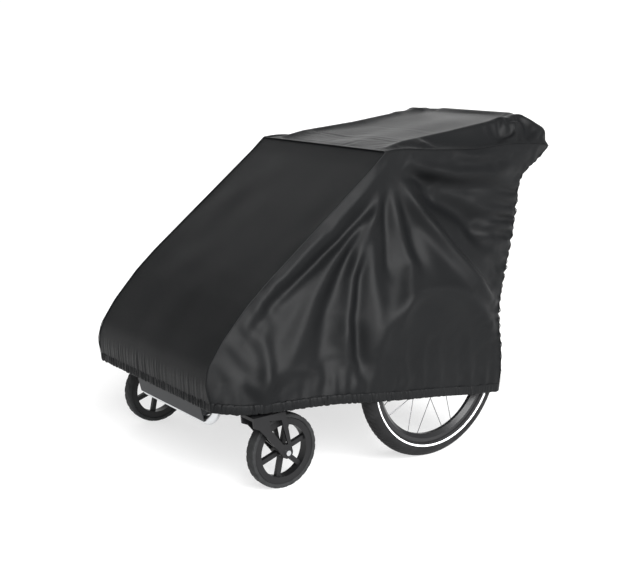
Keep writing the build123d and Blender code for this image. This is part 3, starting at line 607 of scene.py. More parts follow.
# folds of the side cloth: points (y, z) along each fold, its height, its half width at both ends,
# and True where it starts at its full height
sideFolds = (
    (((0.02, 0.85), (-0.07, 0.785), (-0.225, 0.663), (-0.42, 0.533), (-0.5, 0.447), (-0.57, 0.35)),
     0.011, 0.016, 0.022),
    (((-0.03, 0.755), (-0.21, 0.625), (-0.41, 0.492), (-0.475, 0.425), (-0.5, 0.38)), -0.013, 0.011, 0.014),
    (((-0.05, 0.75), (-0.23, 0.58), (-0.3, 0.5), (-0.4, 0.35), (-0.45, 0.27)), 0.013, 0.012, 0.034),
    (((-0.1, 0.68), (-0.22, 0.54), (-0.27, 0.46), (-0.31, 0.36), (-0.33, 0.28)), -0.014, 0.014, 0.034),
    (((-0.03, 0.77), (-0.15, 0.61), (-0.2, 0.47), (-0.235, 0.38), (-0.255, 0.28)), 0.017, 0.012, 0.024),
    (((-0.13, 0.6), (-0.165, 0.53), (-0.2, 0.43), (-0.205, 0.34), (-0.2, 0.25)), -0.019, 0.012, 0.02),
    (((-0.06, 0.74), (-0.11, 0.62), (-0.13, 0.47), (-0.16, 0.3)), 0.012, 0.016, 0.034),
    (((-0.035, 0.77), (-0.05, 0.67), (-0.062, 0.58), (-0.075, 0.5)), -0.012, 0.006, 0.015),
    (((-0.015, 0.77), (-0.015, 0.66), (0.0, 0.55), (-0.06, 0.43), (-0.09, 0.33)), 0.012, 0.01, 0.026),
    (((0.005, 0.75), (0.03, 0.64), (0.035, 0.55), (0.02, 0.5)), -0.008, 0.01, 0.02),
    (((0.005, 0.79), (0.07, 0.675), (0.145, 0.575), (0.225, 0.475), (0.30, 0.385)), 0.024, 0.013, 0.026),
    (((0.06, 0.775), (0.13, 0.725), (0.24, 0.665), (0.33, 0.56)), -0.036, 0.03, 0.046),
    (((0.0, 0.8), (0.05, 0.806), (0.12, 0.792), (0.22, 0.772), (0.36, 0.77), (0.5, 0.79)),
     0.015, 0.012, 0.022),
    (((0.0, 0.775), (0.06, 0.78), (0.14, 0.758), (0.26, 0.73), (0.36, 0.73)), -0.017, 0.012, 0.026),
    (((0.16, 0.83), (0.3, 0.820), (0.45, 0.828), (0.57, 0.822)), 0.012, 0.011, 0.014),
    (((0.48, 0.722), (0.36, 0.745), (0.26, 0.75)), 0.008, 0.007, 0.022, True),
    (((0.475, 0.70), (0.35, 0.722)), -0.010, 0.006, 0.02, True),
    (((0.47, 0.682), (0.36, 0.704), (0.27, 0.71)), 0.010, 0.007, 0.02, True),
    (((0.465, 0.663), (0.33, 0.685)), -0.010, 0.006, 0.02, True),
    (((0.46, 0.643), (0.31, 0.668), (0.2, 0.68)), 0.012, 0.007, 0.024, True),
    (((0.455, 0.622), (0.31, 0.648)), -0.011, 0.006, 0.02, True),
    (((0.45, 0.6), (0.28, 0.632), (0.18, 0.64)), 0.012, 0.007, 0.026, True),
    (((0.44, 0.578), (0.3, 0.605)), -0.010, 0.006, 0.02, True),
    (((0.43, 0.556), (0.25, 0.592)), 0.010, 0.007, 0.022, True),
    (((0.42, 0.536), (0.3, 0.556)), -0.007, 0.006, 0.016, True),
    (((0.41, 0.515), (0.27, 0.54)), 0.007, 0.006, 0.018, True),
    (((0.38, 0.478), (0.3, 0.486)), 0.006, 0.006, 0.014, True),
    (((-0.06, 0.19), (-0.065, 0.3), (-0.05, 0.42)), 0.004, 0.008, 0.022, True),
    (((0.0, 0.18), (0.0, 0.28), (0.02, 0.4)), 0.0035, 0.008, 0.02, True),
    (((0.06, 0.18), (0.065, 0.36)), 0.004, 0.008, 0.02, True),
    (((0.12, 0.17), (0.12, 0.33)), 0.0035, 0.007, 0.018, True),
    (((0.18, 0.16), (0.175, 0.36)), 0.004, 0.008, 0.02, True),
    (((0.24, 0.155), (0.235, 0.32)), 0.0035, 0.008, 0.016, True),
    (((-0.42, 0.53), (-0.385, 0.45)), 0.006, 0.007, 0.012, True),
    (((-0.465, 0.49), (-0.42, 0.40)), 0.007, 0.007, 0.014, True),
    (((-0.50, 0.45), (-0.455, 0.36)), 0.007, 0.006, 0.014, True),
    (((-0.54, 0.41), (-0.49, 0.32)), 0.007, 0.006, 0.013, True),
    (((-0.58, 0.37), (-0.53, 0.28)), 0.006, 0.006, 0.012, True),
    (((-0.475, 0.25), (-0.46, 0.36), (-0.455, 0.46)), 0.009, 0.010, 0.02),
    (((-0.47, 0.25), (-0.53, 0.32)), 0.006, 0.008, 0.012),
    (((-0.29, 0.225), (-0.285, 0.33)), 0.009, 0.007, 0.012, True),
    (((-0.262, 0.222), (-0.262, 0.31)), 0.009, 0.006, 0.010, True),
    (((-0.235, 0.22), (-0.225, 0.30)), 0.009, 0.006, 0.010, True),
)


def foldHeight(across, down, folds):
    # each fold is a rounded ridge along a bent line: its height fades to nothing at both ends, and
    # sideways as a bell whose width goes evenly from its first to its last value
    height = np.zeros_like(across)
    for line, high, wideStart, wideEnd, *openStart in folds:
        line = np.asarray(line)
        steps = arcSteps(line)
        nearest = np.full(across.shape, 9.0)
        along = np.zeros_like(across)
        for k in range(len(line) - 1):
            run = line[k + 1] - line[k]
            pastY, pastZ = across - line[k, 0], down - line[k, 1]
            share = np.clip((pastY * run[0] + pastZ * run[1]) / (run @ run), 0, 1)
            gap = np.hypot(pastY - share * run[0], pastZ - share * run[1])
            closer = gap < nearest
            nearest = np.where(closer, gap, nearest)
            here = (steps[k] + share * (steps[k + 1] - steps[k])) / steps[-1]
            along = np.where(closer, here, along)
        wide = wideStart + (wideEnd - wideStart) * along
        fromEnd = np.minimum(along + 1 if openStart else along, 1 - along)
        fade = smoothStep(fromEnd * (1.3 if openStart else 4))
        height += high * fade * bell(nearest, 0, wide)
    return height


def gridNormals(points):
    # across the grid's two directions, pointing where the left side's cloth faces: outwards
    across = np.gradient(points, axis=1)
    down = np.gradient(points, axis=0)
    normal = np.cross(down, across)
    return normal / (np.linalg.norm(normal, axis=-1, keepdims=True) + 1e-12)


def sheetPlace(taut):
    # each point's place on the flat cloth, in metres: how far along its row and down its column
    rows, columns = taut.shape[:2]
    stepsU = np.linalg.norm(np.diff(taut, axis=1), axis=-1)
    stepsV = np.linalg.norm(np.diff(taut, axis=0), axis=-1)
    flatU = np.concatenate([np.zeros((rows, 1)), np.cumsum(stepsU, 1)], 1)
    flatV = np.concatenate([np.zeros((1, columns)), np.cumsum(stepsV, 0)], 0)
    return np.stack([flatU, flatV], -1)


def ruffle(line, size, length, seed):
    # a sewn elastic draws its seam into small uneven waves: the line shifts sideways by a few of them
    along = arcSteps(line) / length
    turn = np.random.default_rng(seed).uniform(0, 6.28, 3)
    wave = (np.sin(along * 6.28 + turn[0]) + 0.6 * np.sin(along * 10.3 + turn[1])
            + 0.5 * np.sin(along * 15.1 + turn[2]))
    return size * wave


def seamLines():
    # the left seam's three stretches, evenly stepped, with the rear one ruffled by its elastic; they
    # share their corners
    front = evenLine(cover["frontSeam"][::-1], cover["rows"], 0.022)
    top = evenLine(cover["roofSeam"], cover["columns"], 0.05)
    rear = evenLine(cover["rearSeam"], cover["rows"], 0.04)
    share = np.linspace(0, 1, cover["rows"])
    drawn = np.clip(share * 6, 0, 1) * np.clip((1 - share) * 4, 0, 1)
    rear[:, 0] += drawn * ruffle(rear, 0.0025, 0.035, 5)
    rear[:, 1] += drawn * ruffle(rear, 0.003, 0.028, 6)
    rear[0], front[0] = top[-1], top[0]
    return front, top, rear


frontSeam, roofSeam, rearSeam = seamLines()
sideHem = evenLine(cover["sideHem"], cover["columns"], 0.06)
sideHem[0], rearSeam[-1] = frontSeam[-1], sideHem[-1]


def sidePanel(hand, seed):
    rows, columns = cover["rows"], cover["columns"]
    u = np.linspace(0, 1, columns)[None]
    v = np.linspace(0, 1, rows)[:, None]
    pinned = borderOf((rows, columns))
    taut = smoothGrid(coonsPatch(roofSeam, sideHem, frontSeam, rearSeam), pinned, keepSideOut, 500)
    # the folds first, then spare cloth by the gathered hem and the ruched rear seam
    edge = np.minimum(1, np.minimum(np.minimum(u, 1 - u) * 30, np.minimum(v, 1 - v) * 26))
    loose = foldHeight(taut[..., 1], taut[..., 2], sideFolds)
    loose = loose + softNoise((rows, columns), (7, 9), seed) * 0.003
    loose = loose + softNoise((rows, columns), (6, 44), seed + 1) * 0.0012 * np.exp(-(1 - v) / 0.12)
    folded = taut + gridNormals(taut) * (loose * edge)[..., None]
    keepSideOut(folded)
    folded[pinned] = taut[pinned]
    hemGather = np.exp(-(1 - v) / 0.05) * (0.05 + 0.2 * bell(u, 0.40, 0.1) + 0.07 * bell(u, 0.15, 0.2))
    ruche = np.exp(-(1 - u) / 0.07) * bell(v, 0.45, 0.32, 4)
    cutU = 1.004 + hemGather
    cutV = 1.004 + 0.25 * ruche
    cloth = smoothGrid(settle(folded, pinned, cutU, cutV, keepSideOut), pinned, keepSideOut, 1)
    flat = sheetPlace(folded)
    cloth[..., 0] *= hand
    return cloth, flat


def stripPanel(left, middle, flatMiddle):
    # straight across between the seams, lifted to the middle's line over all but its edges
    rows = len(left)
    flatMiddle = np.broadcast_to(flatMiddle, rows)[:, None, None]
    c = np.linspace(-1, 1, cover["stripColumns"])[None, :, None]
    middle = evenLine([(0, *point) for point in middle], rows, 0.04)
    right = left * (-1, 1, 1)
    ruled = left[:, None] * (1 + c) / 2 + right[:, None] * (1 - c) / 2
    level = smoothStep((1 - np.abs(c)) / (1 - flatMiddle))
    rise = middle[:, None] - (left[:, None] + right[:, None]) / 2
    return ruled + level * rise


# the roof's rear corners, as (middle, reach) in metres: where the cloth bulges past the bar's bend, and
# where it is crumpled in the hollow ahead of it
roofCorner = {
    "bulgeAcross": (0.24, 0.055),
    "bulgeUp": (0.872, 0.038),
    "bulgeFrom": 0.54,
    "bulgeRamp": 0.05,
    "bulgeOut": (0.018, 0.026, 0.006),
    "crumpleAcross": (0.25, 0.03),
    "crumpleAlong": (0.5, 0.08),
    "crumpleHeight": 0.015,
    "crumpleSpare": 0.14,
}


def topPanel():
    # the level middle widens towards the handlebar
    left = evenLine(roofSeam, cover["topRows"])
    base = stripPanel(left, cover["middleRoof"], 0.74 + 0.16 * smoothStep((left[:, 1] - 0.44) / 0.1))
    pinned = borderOf(base.shape[:2])
    taut = smoothGrid(base, pinned, keepTopOut, 60)
    aside = np.abs(taut[..., 0])
    ramp = np.clip((taut[..., 1] - roofCorner["bulgeFrom"]) / roofCorner["bulgeRamp"], 0, 1)
    bulge = bell(aside, *roofCorner["bulgeAcross"]) * bell(taut[..., 2], *roofCorner["bulgeUp"]) * ramp
    outX, outY, outZ = roofCorner["bulgeOut"]
    taut[..., 1] += outY * bulge
    taut[..., 0] += outX * bulge * np.sign(taut[..., 0])
    taut[..., 2] += outZ * bulge
    aside = np.abs(taut[..., 0])
    corner = bell(aside, *roofCorner["crumpleAcross"]) * bell(taut[..., 1], *roofCorner["crumpleAlong"])
    size = taut.shape[:2]
    lift = softNoise(size, (5, 5), 71) * 0.003
    lift = lift + softNoise(size, (30, 36), 72) * roofCorner["crumpleHeight"] * corner
    folded = taut + np.array([0, 0, 1.0]) * lift[..., None]
    folded[pinned] = taut[pinned]
    cut = 1.008 + roofCorner["crumpleSpare"] * corner
    cloth = settle(folded, pinned, cut, cut, keepTopOut, drop=0.1)
    return cloth, sheetPlace(folded)


def backPanel():
    base = stripPanel(rearSeam, cover["middleRear"], 0.35)
    rows, columns = base.shape[:2]
    pinned = borderOf((rows, columns))
    taut = smoothGrid(base, pinned, keepBackOut, 40)
    c = np.abs(np.linspace(-1, 1, columns))[None]
    v = np.linspace(0, 1, rows)[:, None]
    drape = softNoise((rows, columns), (10, 12), 81) * 0.006
    drape = drape + softNoise((rows, columns), (40, 44), 82) * 0.002
    folded = taut + np.array([0, 1.0, 0]) * drape[..., None]
    folded[pinned] = taut[pinned]
    cutU = np.broadcast_to(1.01 + 0.12 * np.exp(-(1 - v) / 0.08), (rows, columns))
    cutV = 1.01 + 0.22 * np.exp(-(1 - c) / 0.12) * bell(v, 0.45, 0.32, 4)
    cloth = settle(folded, pinned, cutU, cutV, keepBackOut)
    return cloth, sheetPlace(folded)


# the pleats under the nose: how deep, how far they slant, and the lengths of their three waves
pleat = {"depth": 0.0013, "slant": 0.25, "ease": 0.02, "lengths": (0.0148, 0.023, 0.041)}


def frontPanel():
    # nearly flat and taut down to the nose, with a slow ripple; below the nose it is drawn in to the
    # hem in small slanting pleats, which start at the fold and deepen evenly
    rows, columns = cover["frontRows"], cover["frontColumns"]
    left = evenLine(frontSeam, rows)
    c = np.linspace(-1, 1, columns)[None, :, None]
    ruled = left[:, None] * (1 + c) / 2 + left[:, None] * (-1, 1, 1) * (1 - c) / 2
    v = np.linspace(0, 1, rows)[:, None]
    edge = 1 - np.abs(c[..., 0]) ** 12
    x, z = ruled[..., 0], ruled[..., 2]
    below = cover["noseHeight"] - z
    under = smoothStep(below / pleat["ease"])
    slant = x + below * pleat["slant"]
    small, middling, large = pleat["lengths"]
    pleats = (np.sin(slant * 2 * np.pi / small + 2.2 * np.sin(x * 31))
              + 0.7 * np.sin(slant * 2 * np.pi / middling + 1.0)
              + 0.5 * np.sin(slant * 2 * np.pi / large + 0.4))
    height = softNoise((rows, columns), (7, 6), 91) * 0.0022 * np.sin(np.pi * v)
    height = height - pleats * pleat["depth"] * under * (0.6 + 0.4 * softNoise((rows, columns), (3, 14), 93))
    cloth = ruled - gridNormals(ruled) * (height * edge)[..., None]
    return cloth, sheetPlace(ruled)


def finishSheet(name, cloth, flat, node, kind, flip=False):
    # the grid becomes a thin wall, smoothed once
    rows, columns = cloth.shape[:2]
    piece = meshObject(name, cloth.reshape(-1, 3), gridFaces(rows, columns, flip=flip), kind["body"],
                       kind["look"], flat.reshape(-1, 2))
    wall = piece.modifiers.new("wall", "SOLIDIFY")
    wall.thickness, wall.offset = kind["wall"], kind["offset"]
    soft = piece.modifiers.new("soft", "SUBSURF")
    soft.levels = soft.render_levels = 1
    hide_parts(node)
    return piece


# the lower edge's elastic casing, and the felled seams between the panels
hem = {"height": 0.026, "rise": 0.006, "thickness": 0.0075, "steps": 1200, "around": 14, "pucker": 0.0016}
seam = {"width": 0.005, "height": 0.0022, "around": 8, "proud": 0.0006, "aim": (0, 0, 0.45)}


def sweptBand(line, up, wide, high, around, closed, square=0.7):
    # an oval section carried along a line: wide along up, high along the outward normal
    turn = np.linspace(0, 2 * np.pi, around, endpoint=False)
    tangent = np.roll(line, -1, 0) - np.roll(line, 1, 0) if closed else np.gradient(line, axis=0)
    tangent = unit(tangent)
    out = unit(np.cross(tangent, up))
    rise = np.cross(out, tangent)
    c, s = np.cos(turn), np.sin(turn)
    c, s = np.sign(c) * np.abs(c) ** square, np.sign(s) * np.abs(s) ** square
    wide, high = np.broadcast_to(wide, len(line)), np.broadcast_to(high, len(line))
    return (line[:, None] + out[:, None] * (c[None] * high[:, None] / 2)[..., None]
            + rise[:, None] * (s[None] * wide[:, None] / 2)[..., None])


def bandUv(grid):
    rows, around = grid.shape[:2]
    along = arcSteps(grid[:, 0])
    girth = np.linspace(0, np.linalg.norm(np.diff(grid[0], axis=0), axis=1).sum(), around)
    return np.stack(np.broadcast_arrays(along[:, None], girth[None]), -1).reshape(-1, 2)


def hemCasing(frontRow, backRow):
    # one closed loop: left side, back, right side, front; its height and place pucker unevenly
    loop = np.concatenate([sideHem, backRow[::-1][1:], (sideHem * (-1, 1, 1))[::-1][1:], frontRow[1:]])
    loop = evenLine(loop, hem["steps"] + 1, 0.02)[:-1]
    tangent = unit(np.roll(loop, -1, 0) - np.roll(loop, 1, 0))
    out = np.stack([-tangent[:, 1], tangent[:, 0], 0 * tangent[:, 0]], 1)
    out *= np.sign((out * (loop - (0, -0.1, 0))).sum(1))[:, None]
    along = np.arange(hem["steps"]) / hem["steps"] * 2 * np.pi
    wave = lambda *beats: sum(np.sin(along * beat + beat * 1.7) for beat in beats) / len(beats)
    rough = 0.55 + 0.45 * np.clip(-loop[:, 1] * 6, 0, 1)
    loop = loop + out * (wave(211, 263, 337, 157) * hem["pucker"] * rough)[:, None]
    loop[:, 2] += hem["rise"] + wave(131, 197, 233, 89) * hem["pucker"] * rough
    high = hem["thickness"] * (1 + 0.5 * wave(227, 283, 349) * rough)
    tall = hem["height"] * (1 + 0.1 * wave(149, 201, 97) * rough)
    grid = sweptBand(loop, (0, 0, 1.0), tall, high, hem["around"], True)
    piece = meshObject("coverHem", grid.reshape(-1, 3), gridFaces(*grid.shape[:2], True, True), "cover",
                       hemCloth, bandUv(grid))
    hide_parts("cover_hem")
    return piece


def seamTube(name, line, size=1.0):
    # a flat felled seam standing a little proud, closed at both ends by drawing in to a point
    steps = np.linspace(0, 1, len(line))
    taper = np.clip(np.minimum(steps, 1 - steps) * 60, 0.02, 1)
    away = unit(line - np.asarray(seam["aim"], float))
    tangent = unit(np.gradient(line, axis=0))
    across = unit(np.cross(tangent, away))
    wide, high = size * seam["width"] * taper, size * seam["height"] * taper
    grid = sweptBand(line + away * seam["proud"], across, wide, high, seam["around"], False)
    piece = meshObject(name, grid.reshape(-1, 3), gridFaces(*grid.shape[:2], False, True), "cover",
                       coverCloth, bandUv(grid))
    return piece


coverKind = {"body": "cover", "look": coverCloth, "slot": "cover_cloth", "wall": 0.0009, "offset": -1}
sideCloths = [sidePanel(1, 11), sidePanel(-1, 23)]
sideLeft = finishSheet("coverSideLeft", *sideCloths[0], "cover_side_left", coverKind)
sideRight = finishSheet("coverSideRight", *sideCloths[1], "cover_side_right", coverKind, flip=True)
print("cover sides settled")
topCloth, topFlat = topPanel()
backCloth, backFlat = backPanel()
frontCloth, frontFlat = frontPanel()
top = finishSheet("coverTop", topCloth, topFlat, "cover_top_panel", coverKind, flip=True)
back = finishSheet("coverBack", backCloth, backFlat, "cover_back_panel", coverKind, flip=True)
front = finishSheet("coverFront", frontCloth, frontFlat, "cover_front_panel", coverKind)
casing = hemCasing(frontCloth[-1], backCloth[-1])
for hand, side in ((1, "Left"), (-1, "Right")):
    longSeam = np.concatenate([frontSeam[::-1], roofSeam[1:], rearSeam[1:]]) * (hand, 1, 1)
    seamTube("seam" + side, evenLine(longSeam, 620))
seamTube("seamRoof", evenLine(frontCloth[0], 120), 1.5)
print("cover settled")


# the trailer's own finishes: each kept piece takes the finish of its slot


def wheelRadius(look, middle):
    # a place's x, and its distance from the wheel's axis
    x, y, z = look.split(look.place())
    across, down = y - middle.y, z - middle.z
    return x, (across * across + down * down) ** 0.5


tyre = {
    "node": "rear_tyre_", "piece": "rearTyre", "body": "rear_wheel_", "slot": "tyre_rubber",
    "seat": 0.208, "ringRadius": 0.2165, "ringHalf": 0.0023, "ringLift": 0.0003, "ribsTo": 0.2385,
    "around": 736, "blocks": 92, "treadHeight": 0.011, "lean": 5.5, "rib": 0.0032, "depth": 0.0013,
}
casterTread = {
    "node": "caster_tyre_", "piece": "casterTyre", "body": "caster_wheel_", "slot": "caster_rubber",
    "height": 0.013, "ringRadius": 0.09, "ringLift": 0.0, "ribsTo": 0.0955,
    "around": 420, "blocks": 26, "treadHeight": 0.004, "lean": 9.0, "rib": 0.0022, "depth": 0.0009,
}


def tyreLook(name, middle, dark, light, size):
    # rubber with fine moulded ribs on the wall, dust in patches, and a pale ring if it has one
    look = Look(name, Specular_IOR_Level=0.16)
    x, radius = wheelRadius(look, middle)
    side = look.math("ABSOLUTE", x) - middle.x
    wall = 1 - look.spread(radius, size["ribsTo"], size["ribsTo"] + 0.0012)
    ribs = look.ripple(radius, 0.0021) * wall
    dust = look.noise(look.place(), 26.0, 5.0, 0.65)
    grain = look.noise(look.place(), 1200, 2.0)
    shade = look.blend(look.spread(dust, 0.35, 0.75), dark, light)
    if "ringHalf" in size:
        gap = look.math("ABSOLUTE", radius - size["ringRadius"])
        outer = look.spread(side, 0.006, 0.010)
        band = (1 - look.spread(gap, size["ringHalf"] - 0.0004, size["ringHalf"] + 0.0004)) * outer
        shade = look.blend(band, shade, look.blend(dust, (0.78, 0.79, 0.8), (0.88, 0.89, 0.9)))
    look.colour(shade)
    look.rough(0.58 + dust * 0.16)
    look.raise_(ribs * 0.6 + grain * 0.4, 0.3, 0.0005)
    return look.material


def middleOf(node):
    low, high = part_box(node)
    return (low + high) / 2


rearTyreLook = tyreLook("rearTyreRubber", wheelMiddle, (0.006, 0.006, 0.0063), (0.013, 0.013, 0.0136), tyre)
casterTyreLook = tyreLook("casterTyreRubber", middleOf("caster_tyre_left"), (0.013, 0.0135, 0.014),
                          (0.024, 0.0245, 0.025), casterTread)
slotFinish = {
    "frame_alloy": silver,
    "black_alloy": blackAlloy,
    "black_plastic": blackPlastic,
    "dark_panel": darkPanel,
    "steel": steelLook,
    "bearing_steel": bearingSteel,
    "button_plastic": buttonPlastic,
    "tyre_rubber": rearTyreLook,
    "caster_rubber": casterTyreLook,
}
for name, node in nodes.items():
    for holder in node.material_slots:
        if holder.material and holder.material.name in slotFinish:
            holder.material = spokeSteel if "spokes" in name else slotFinish[holder.material.name]
print("finishes assigned")

# tyres: a section carried round the axle, with slanting cuts sunk in its tread


# how sharply the tread's cuts, shoulder, middle rib, grooves and wall ring begin
treadEdge = {
    "cutFrom": 0.62,
    "cutEase": 0.2,
    "shoulder": 0.0016,
    "ribEase": 0.0012,
    "groove": 0.0008,
    "ring": 0.003,
}


def tyrePiece(side, hand, size, section, look):
    # across and reach are the section's distances from the wheel's middle and from its axle; the cuts
    # come evenly round and lean back from the middle, and a low ring stands on the outer wall
    node = size["node"] + side
    low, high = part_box(node)
    middle, outer, half = (low + high) / 2, (high.z - low.z) / 2, (high.x - low.x) / 2
    across, reach = section(outer, half)
    turn = np.linspace(0, 2 * np.pi, size["around"], endpoint=False)[:, None]
    fromMiddle = np.abs(across)
    wave = 0.5 + 0.5 * np.sin(size["blocks"] * (turn + fromMiddle * size["lean"]) + 1.6 * (across > 0))
    cut = smoothStep((wave - treadEdge["cutFrom"]) / treadEdge["cutEase"])
    tread = np.clip((reach - (outer - size["treadHeight"])) / treadEdge["shoulder"], 0, 1)
    rib = np.clip((fromMiddle - size["rib"]) / treadEdge["ribEase"], 0, 1)
    deep = size["depth"] * tread * (cut * rib + bell(fromMiddle, size["rib"], treadEdge["groove"]))
    ring = size["ringLift"] * bell(reach, size["ringRadius"], treadEdge["ring"], 4) * (across > 0)
    x = middle.x + hand * (across + ring)
    radius = reach - deep
    grid = np.stack([x + 0 * turn, middle.y + radius * np.sin(turn), middle.z + radius * np.cos(turn)], -1)
    points = grid.reshape(-1, 3)
    quads = outwardFaces(points - np.array(middle), gridFaces(*grid.shape[:2], True, True))
    piece = meshObject(size["piece"] + side.title(), points, quads, size["body"] + side, look)
    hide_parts(node)
    return piece


def roundSection(outer, half):
    # a round arc from one edge of the rim's seat over the tread to the other
    start = math.acos((outer - half - tyre["seat"]) / half)
    phi = np.linspace(start, 2 * np.pi - start, 64)[None]
    return half * np.sin(phi), outer - half - half * np.cos(phi)


def squareSection(outer, half):
    # a rounded square ring, low and wide
    phi = np.linspace(0, 2 * np.pi, 56, endpoint=False)[None]
    bend = lambda wave: np.sign(wave) * np.abs(wave) ** 0.45
    rise = casterTread["height"] / 2
    return half * bend(np.sin(phi)), outer - rise + rise * bend(np.cos(phi))


for hand, side in ((1, "left"), (-1, "right")):
    tyrePiece(side, hand, tyre, roundSection, rearTyreLook)
    tyrePiece(side, hand, casterTread, squareSection, casterTyreLook)
print("tyres ready")

# cabin: mesh sides, roof and back cloth, rolled screen

cabin = {
    "x": 0.2505,
    "front": ((-0.016, 0.81), (-0.4, 0.509), (-0.574, 0.331), (-0.574, 0.307)),
    "rear": ((0.135, 0.81), (0.182, 0.307)),
    "bow": 0.0045,
    "rows": 48,
    "columns": 56,
    "thickness": 0.0012,
    # rows, columns, sag, wave and seed
    "roofSize": (24, 60, 0.003, 0.0012, 33),
    "backSize": (56, 56, 0.004, 0.003, 35),
}
rolled = {"turns": 3.2, "steps": 150, "columns": 40, "core": 0.0045, "coreRoom": 0.0055, "slack": 0.035}


def cabinMeshLook():
    # solid cloth round the edge and at the foot, open round holes over the window
    look = Look("cabinMesh", Specular_IOR_Level=0.25, Sheen_Weight=0.1)
    x, y, z = look.split(look.place())
    frontGap = y + (0.806 - z) * 1.275 + 0.016
    rearGap = 0.137 + (0.81 - z) * 0.093 - y
    window = (look.spread(frontGap, 0.058, 0.061) * look.spread(rearGap, 0.03, 0.033)
              * look.spread(z, 0.402, 0.405) * (1 - look.spread(z, 0.775, 0.778)))
    rowWave = look.ripple(z, 0.0026)
    holes = look.ripple(y, 0.0026) * rowWave
    open_ = look.spread(holes, 0.42, 0.58) * window
    threads = look.ripple(y, 0.0009) * 0.5 + look.ripple(z, 0.0009) * 0.5
    drift = look.noise(look.place(), 7.0, 3.0)
    look.colour(look.blend(drift * 0.6 + threads * 0.3, (0.011, 0.0115, 0.012), (0.026, 0.0265, 0.027)))
    look.rough(0.62 + drift * 0.15)
    look.feed(look.shader.inputs["Alpha"], 1 - open_)
    look.raise_(threads - window * 0.6, 0.4, 0.0006)
    return look.material


def meshSidePanel(hand):
    # between the hoop's four edges, bowed a little inwards at the middle
    rows, columns = cabin["rows"], cabin["columns"]
    flatPoint = lambda y, z: (cabin["x"], y, z)
    front = evenLine([flatPoint(*p) for p in cabin["front"]], rows, 0.02)
    rear = evenLine([flatPoint(*p) for p in cabin["rear"]], rows)
    roofEdge = evenLine([front[0], rear[0]], columns)
    foot = evenLine([front[-1], rear[-1]], columns)
    cloth = coonsPatch(roofEdge, foot, front, rear)
    u = np.linspace(0, 1, columns)[None]
    v = np.linspace(0, 1, rows)[:, None]
    dish = np.sin(np.pi * u) ** 0.7 * np.sin(np.pi * v) ** 0.7
    cloth[..., 0] -= cabin["bow"] * dish * (1 + 0.25 * softNoise((rows, columns), (5, 6), 31))
    flat = sheetPlace(cloth)
    cloth[..., 0] *= hand
    return cloth, flat


def ribbonSheet(start, end, halfWidth, rows, columns, sag, wave, seed):
    # a cloth from one crossbar to the next, straight across, sagging along a half sine; start and
    # end are (y, z)
    t = np.linspace(0, 1, rows)[:, None, None]
    x = np.linspace(-halfWidth, halfWidth, columns)[None, :, None]
    cloth = (np.array((0, *start)) * (1 - t) + np.array((0, *end)) * t) + np.array([1.0, 0, 0]) * x
    run = np.array(end) - np.array(start)
    normal = np.array([0, run[1], -run[0]]) / np.linalg.norm(run)
    edge = np.sin(np.pi * t[..., 0]) * np.minimum(1, (halfWidth - np.abs(x[..., 0])) / 0.03)
    depth = sag * edge + wave * edge * softNoise((rows, columns), (6, 8), seed)
    cloth = cloth + normal * depth[..., None]
    return cloth, sheetPlace(cloth)


def screenRoll():
    # a spiral seen end on: the radius grows evenly with the angle, and the roll slackens along its length
    low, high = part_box("rolled_screen")
    steps, columns = rolled["steps"], rolled["columns"]
    middle, outer = (low + high) / 2, (high.z - low.z) / 2 - cabin["thickness"]
    angle = np.linspace(0, rolled["turns"] * 2 * np.pi, steps)[:, None]
    x = np.linspace(low.x + 0.002, high.x - 0.002, columns)[None]
    radius = rolled["core"] + (outer - rolled["coreRoom"]) * angle / angle[-1]
    radius = radius * (1 - rolled["slack"] * (1 + softNoise((steps, columns), (10, 14), 41)) / 2)
    y, z = middle.y + radius * np.sin(angle), middle.z + radius * np.cos(angle)
    cloth = np.stack([x + 0 * angle, y, z], -1)
    return cloth, sheetPlace(cloth)


cabinCloth = wovenLook("cabinCloth", (0.012, 0.0125, 0.013), (0.028, 0.0285, 0.029),
                       thread=0.0013, rough=0.6, sheen=0.1)
meshKind = {"body": "trailer", "look": cabinMeshLook(), "slot": "cabin_mesh", "wall": cabin["thickness"],
            "offset": 0}
cabinKind = {"body": "trailer", "look": cabinCloth, "slot": "cabin_cloth", "wall": cabin["thickness"],
             "offset": 0}
for hand, side in ((1, "left"), (-1, "right")):
    meshCloth, meshFlat = meshSidePanel(hand)
    piece = finishSheet("cabinSide" + side.title(), meshCloth, meshFlat, "cabin_side_" + side, meshKind)
roofLow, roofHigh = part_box("cabin_roof")
backLow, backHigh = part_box("cabin_back")
halfCabin = roofHigh.x - 0.001
roofEnds = (roofLow.y + 0.001, roofLow.z + 0.0015), (roofHigh.y - 0.001, roofLow.z + 0.0015)
backEnds = (backLow.y + 0.0015, backHigh.z - 0.001), (backHigh.y - 0.0015, backLow.z + 0.001)
roofCloth, roofFlat = ribbonSheet(*roofEnds, halfCabin, *cabin["roofSize"])
rearCloth, rearFlat = ribbonSheet(*backEnds, halfCabin, *cabin["backSize"])
cabinRoof = finishSheet("cabinRoof", roofCloth, roofFlat, "cabin_roof", cabinKind)
cabinBack = finishSheet("cabinBack", rearCloth, rearFlat, "cabin_back", cabinKind)
rollCloth, rollFlat = screenRoll()
screen = finishSheet("rolledScreen", rollCloth, rollFlat, "rolled_screen", cabinKind)
print("cabin cloth ready")

# seats and harness

seatPads = {
    "base": {"node": "seat_base", "crown": 0.42, "channels": 5, "channelDepth": 0.10},
    "back": {"node": "seat_back", "crown": 0.38, "channels": 9, "channelDepth": 0.16,
             "lean": 6, "length": 0.428, "thick": 0.014},
    "rows": 84,
    "columns": 128,
    "sideBow": 0.004,
}
harness = {"width": 0.026, "thickness": 0.0022, "length": 0.34, "foot": 0.045, "steps": 90, "around": 14,
           "centres": (-0.168, -0.068, 0.068, 0.168)}


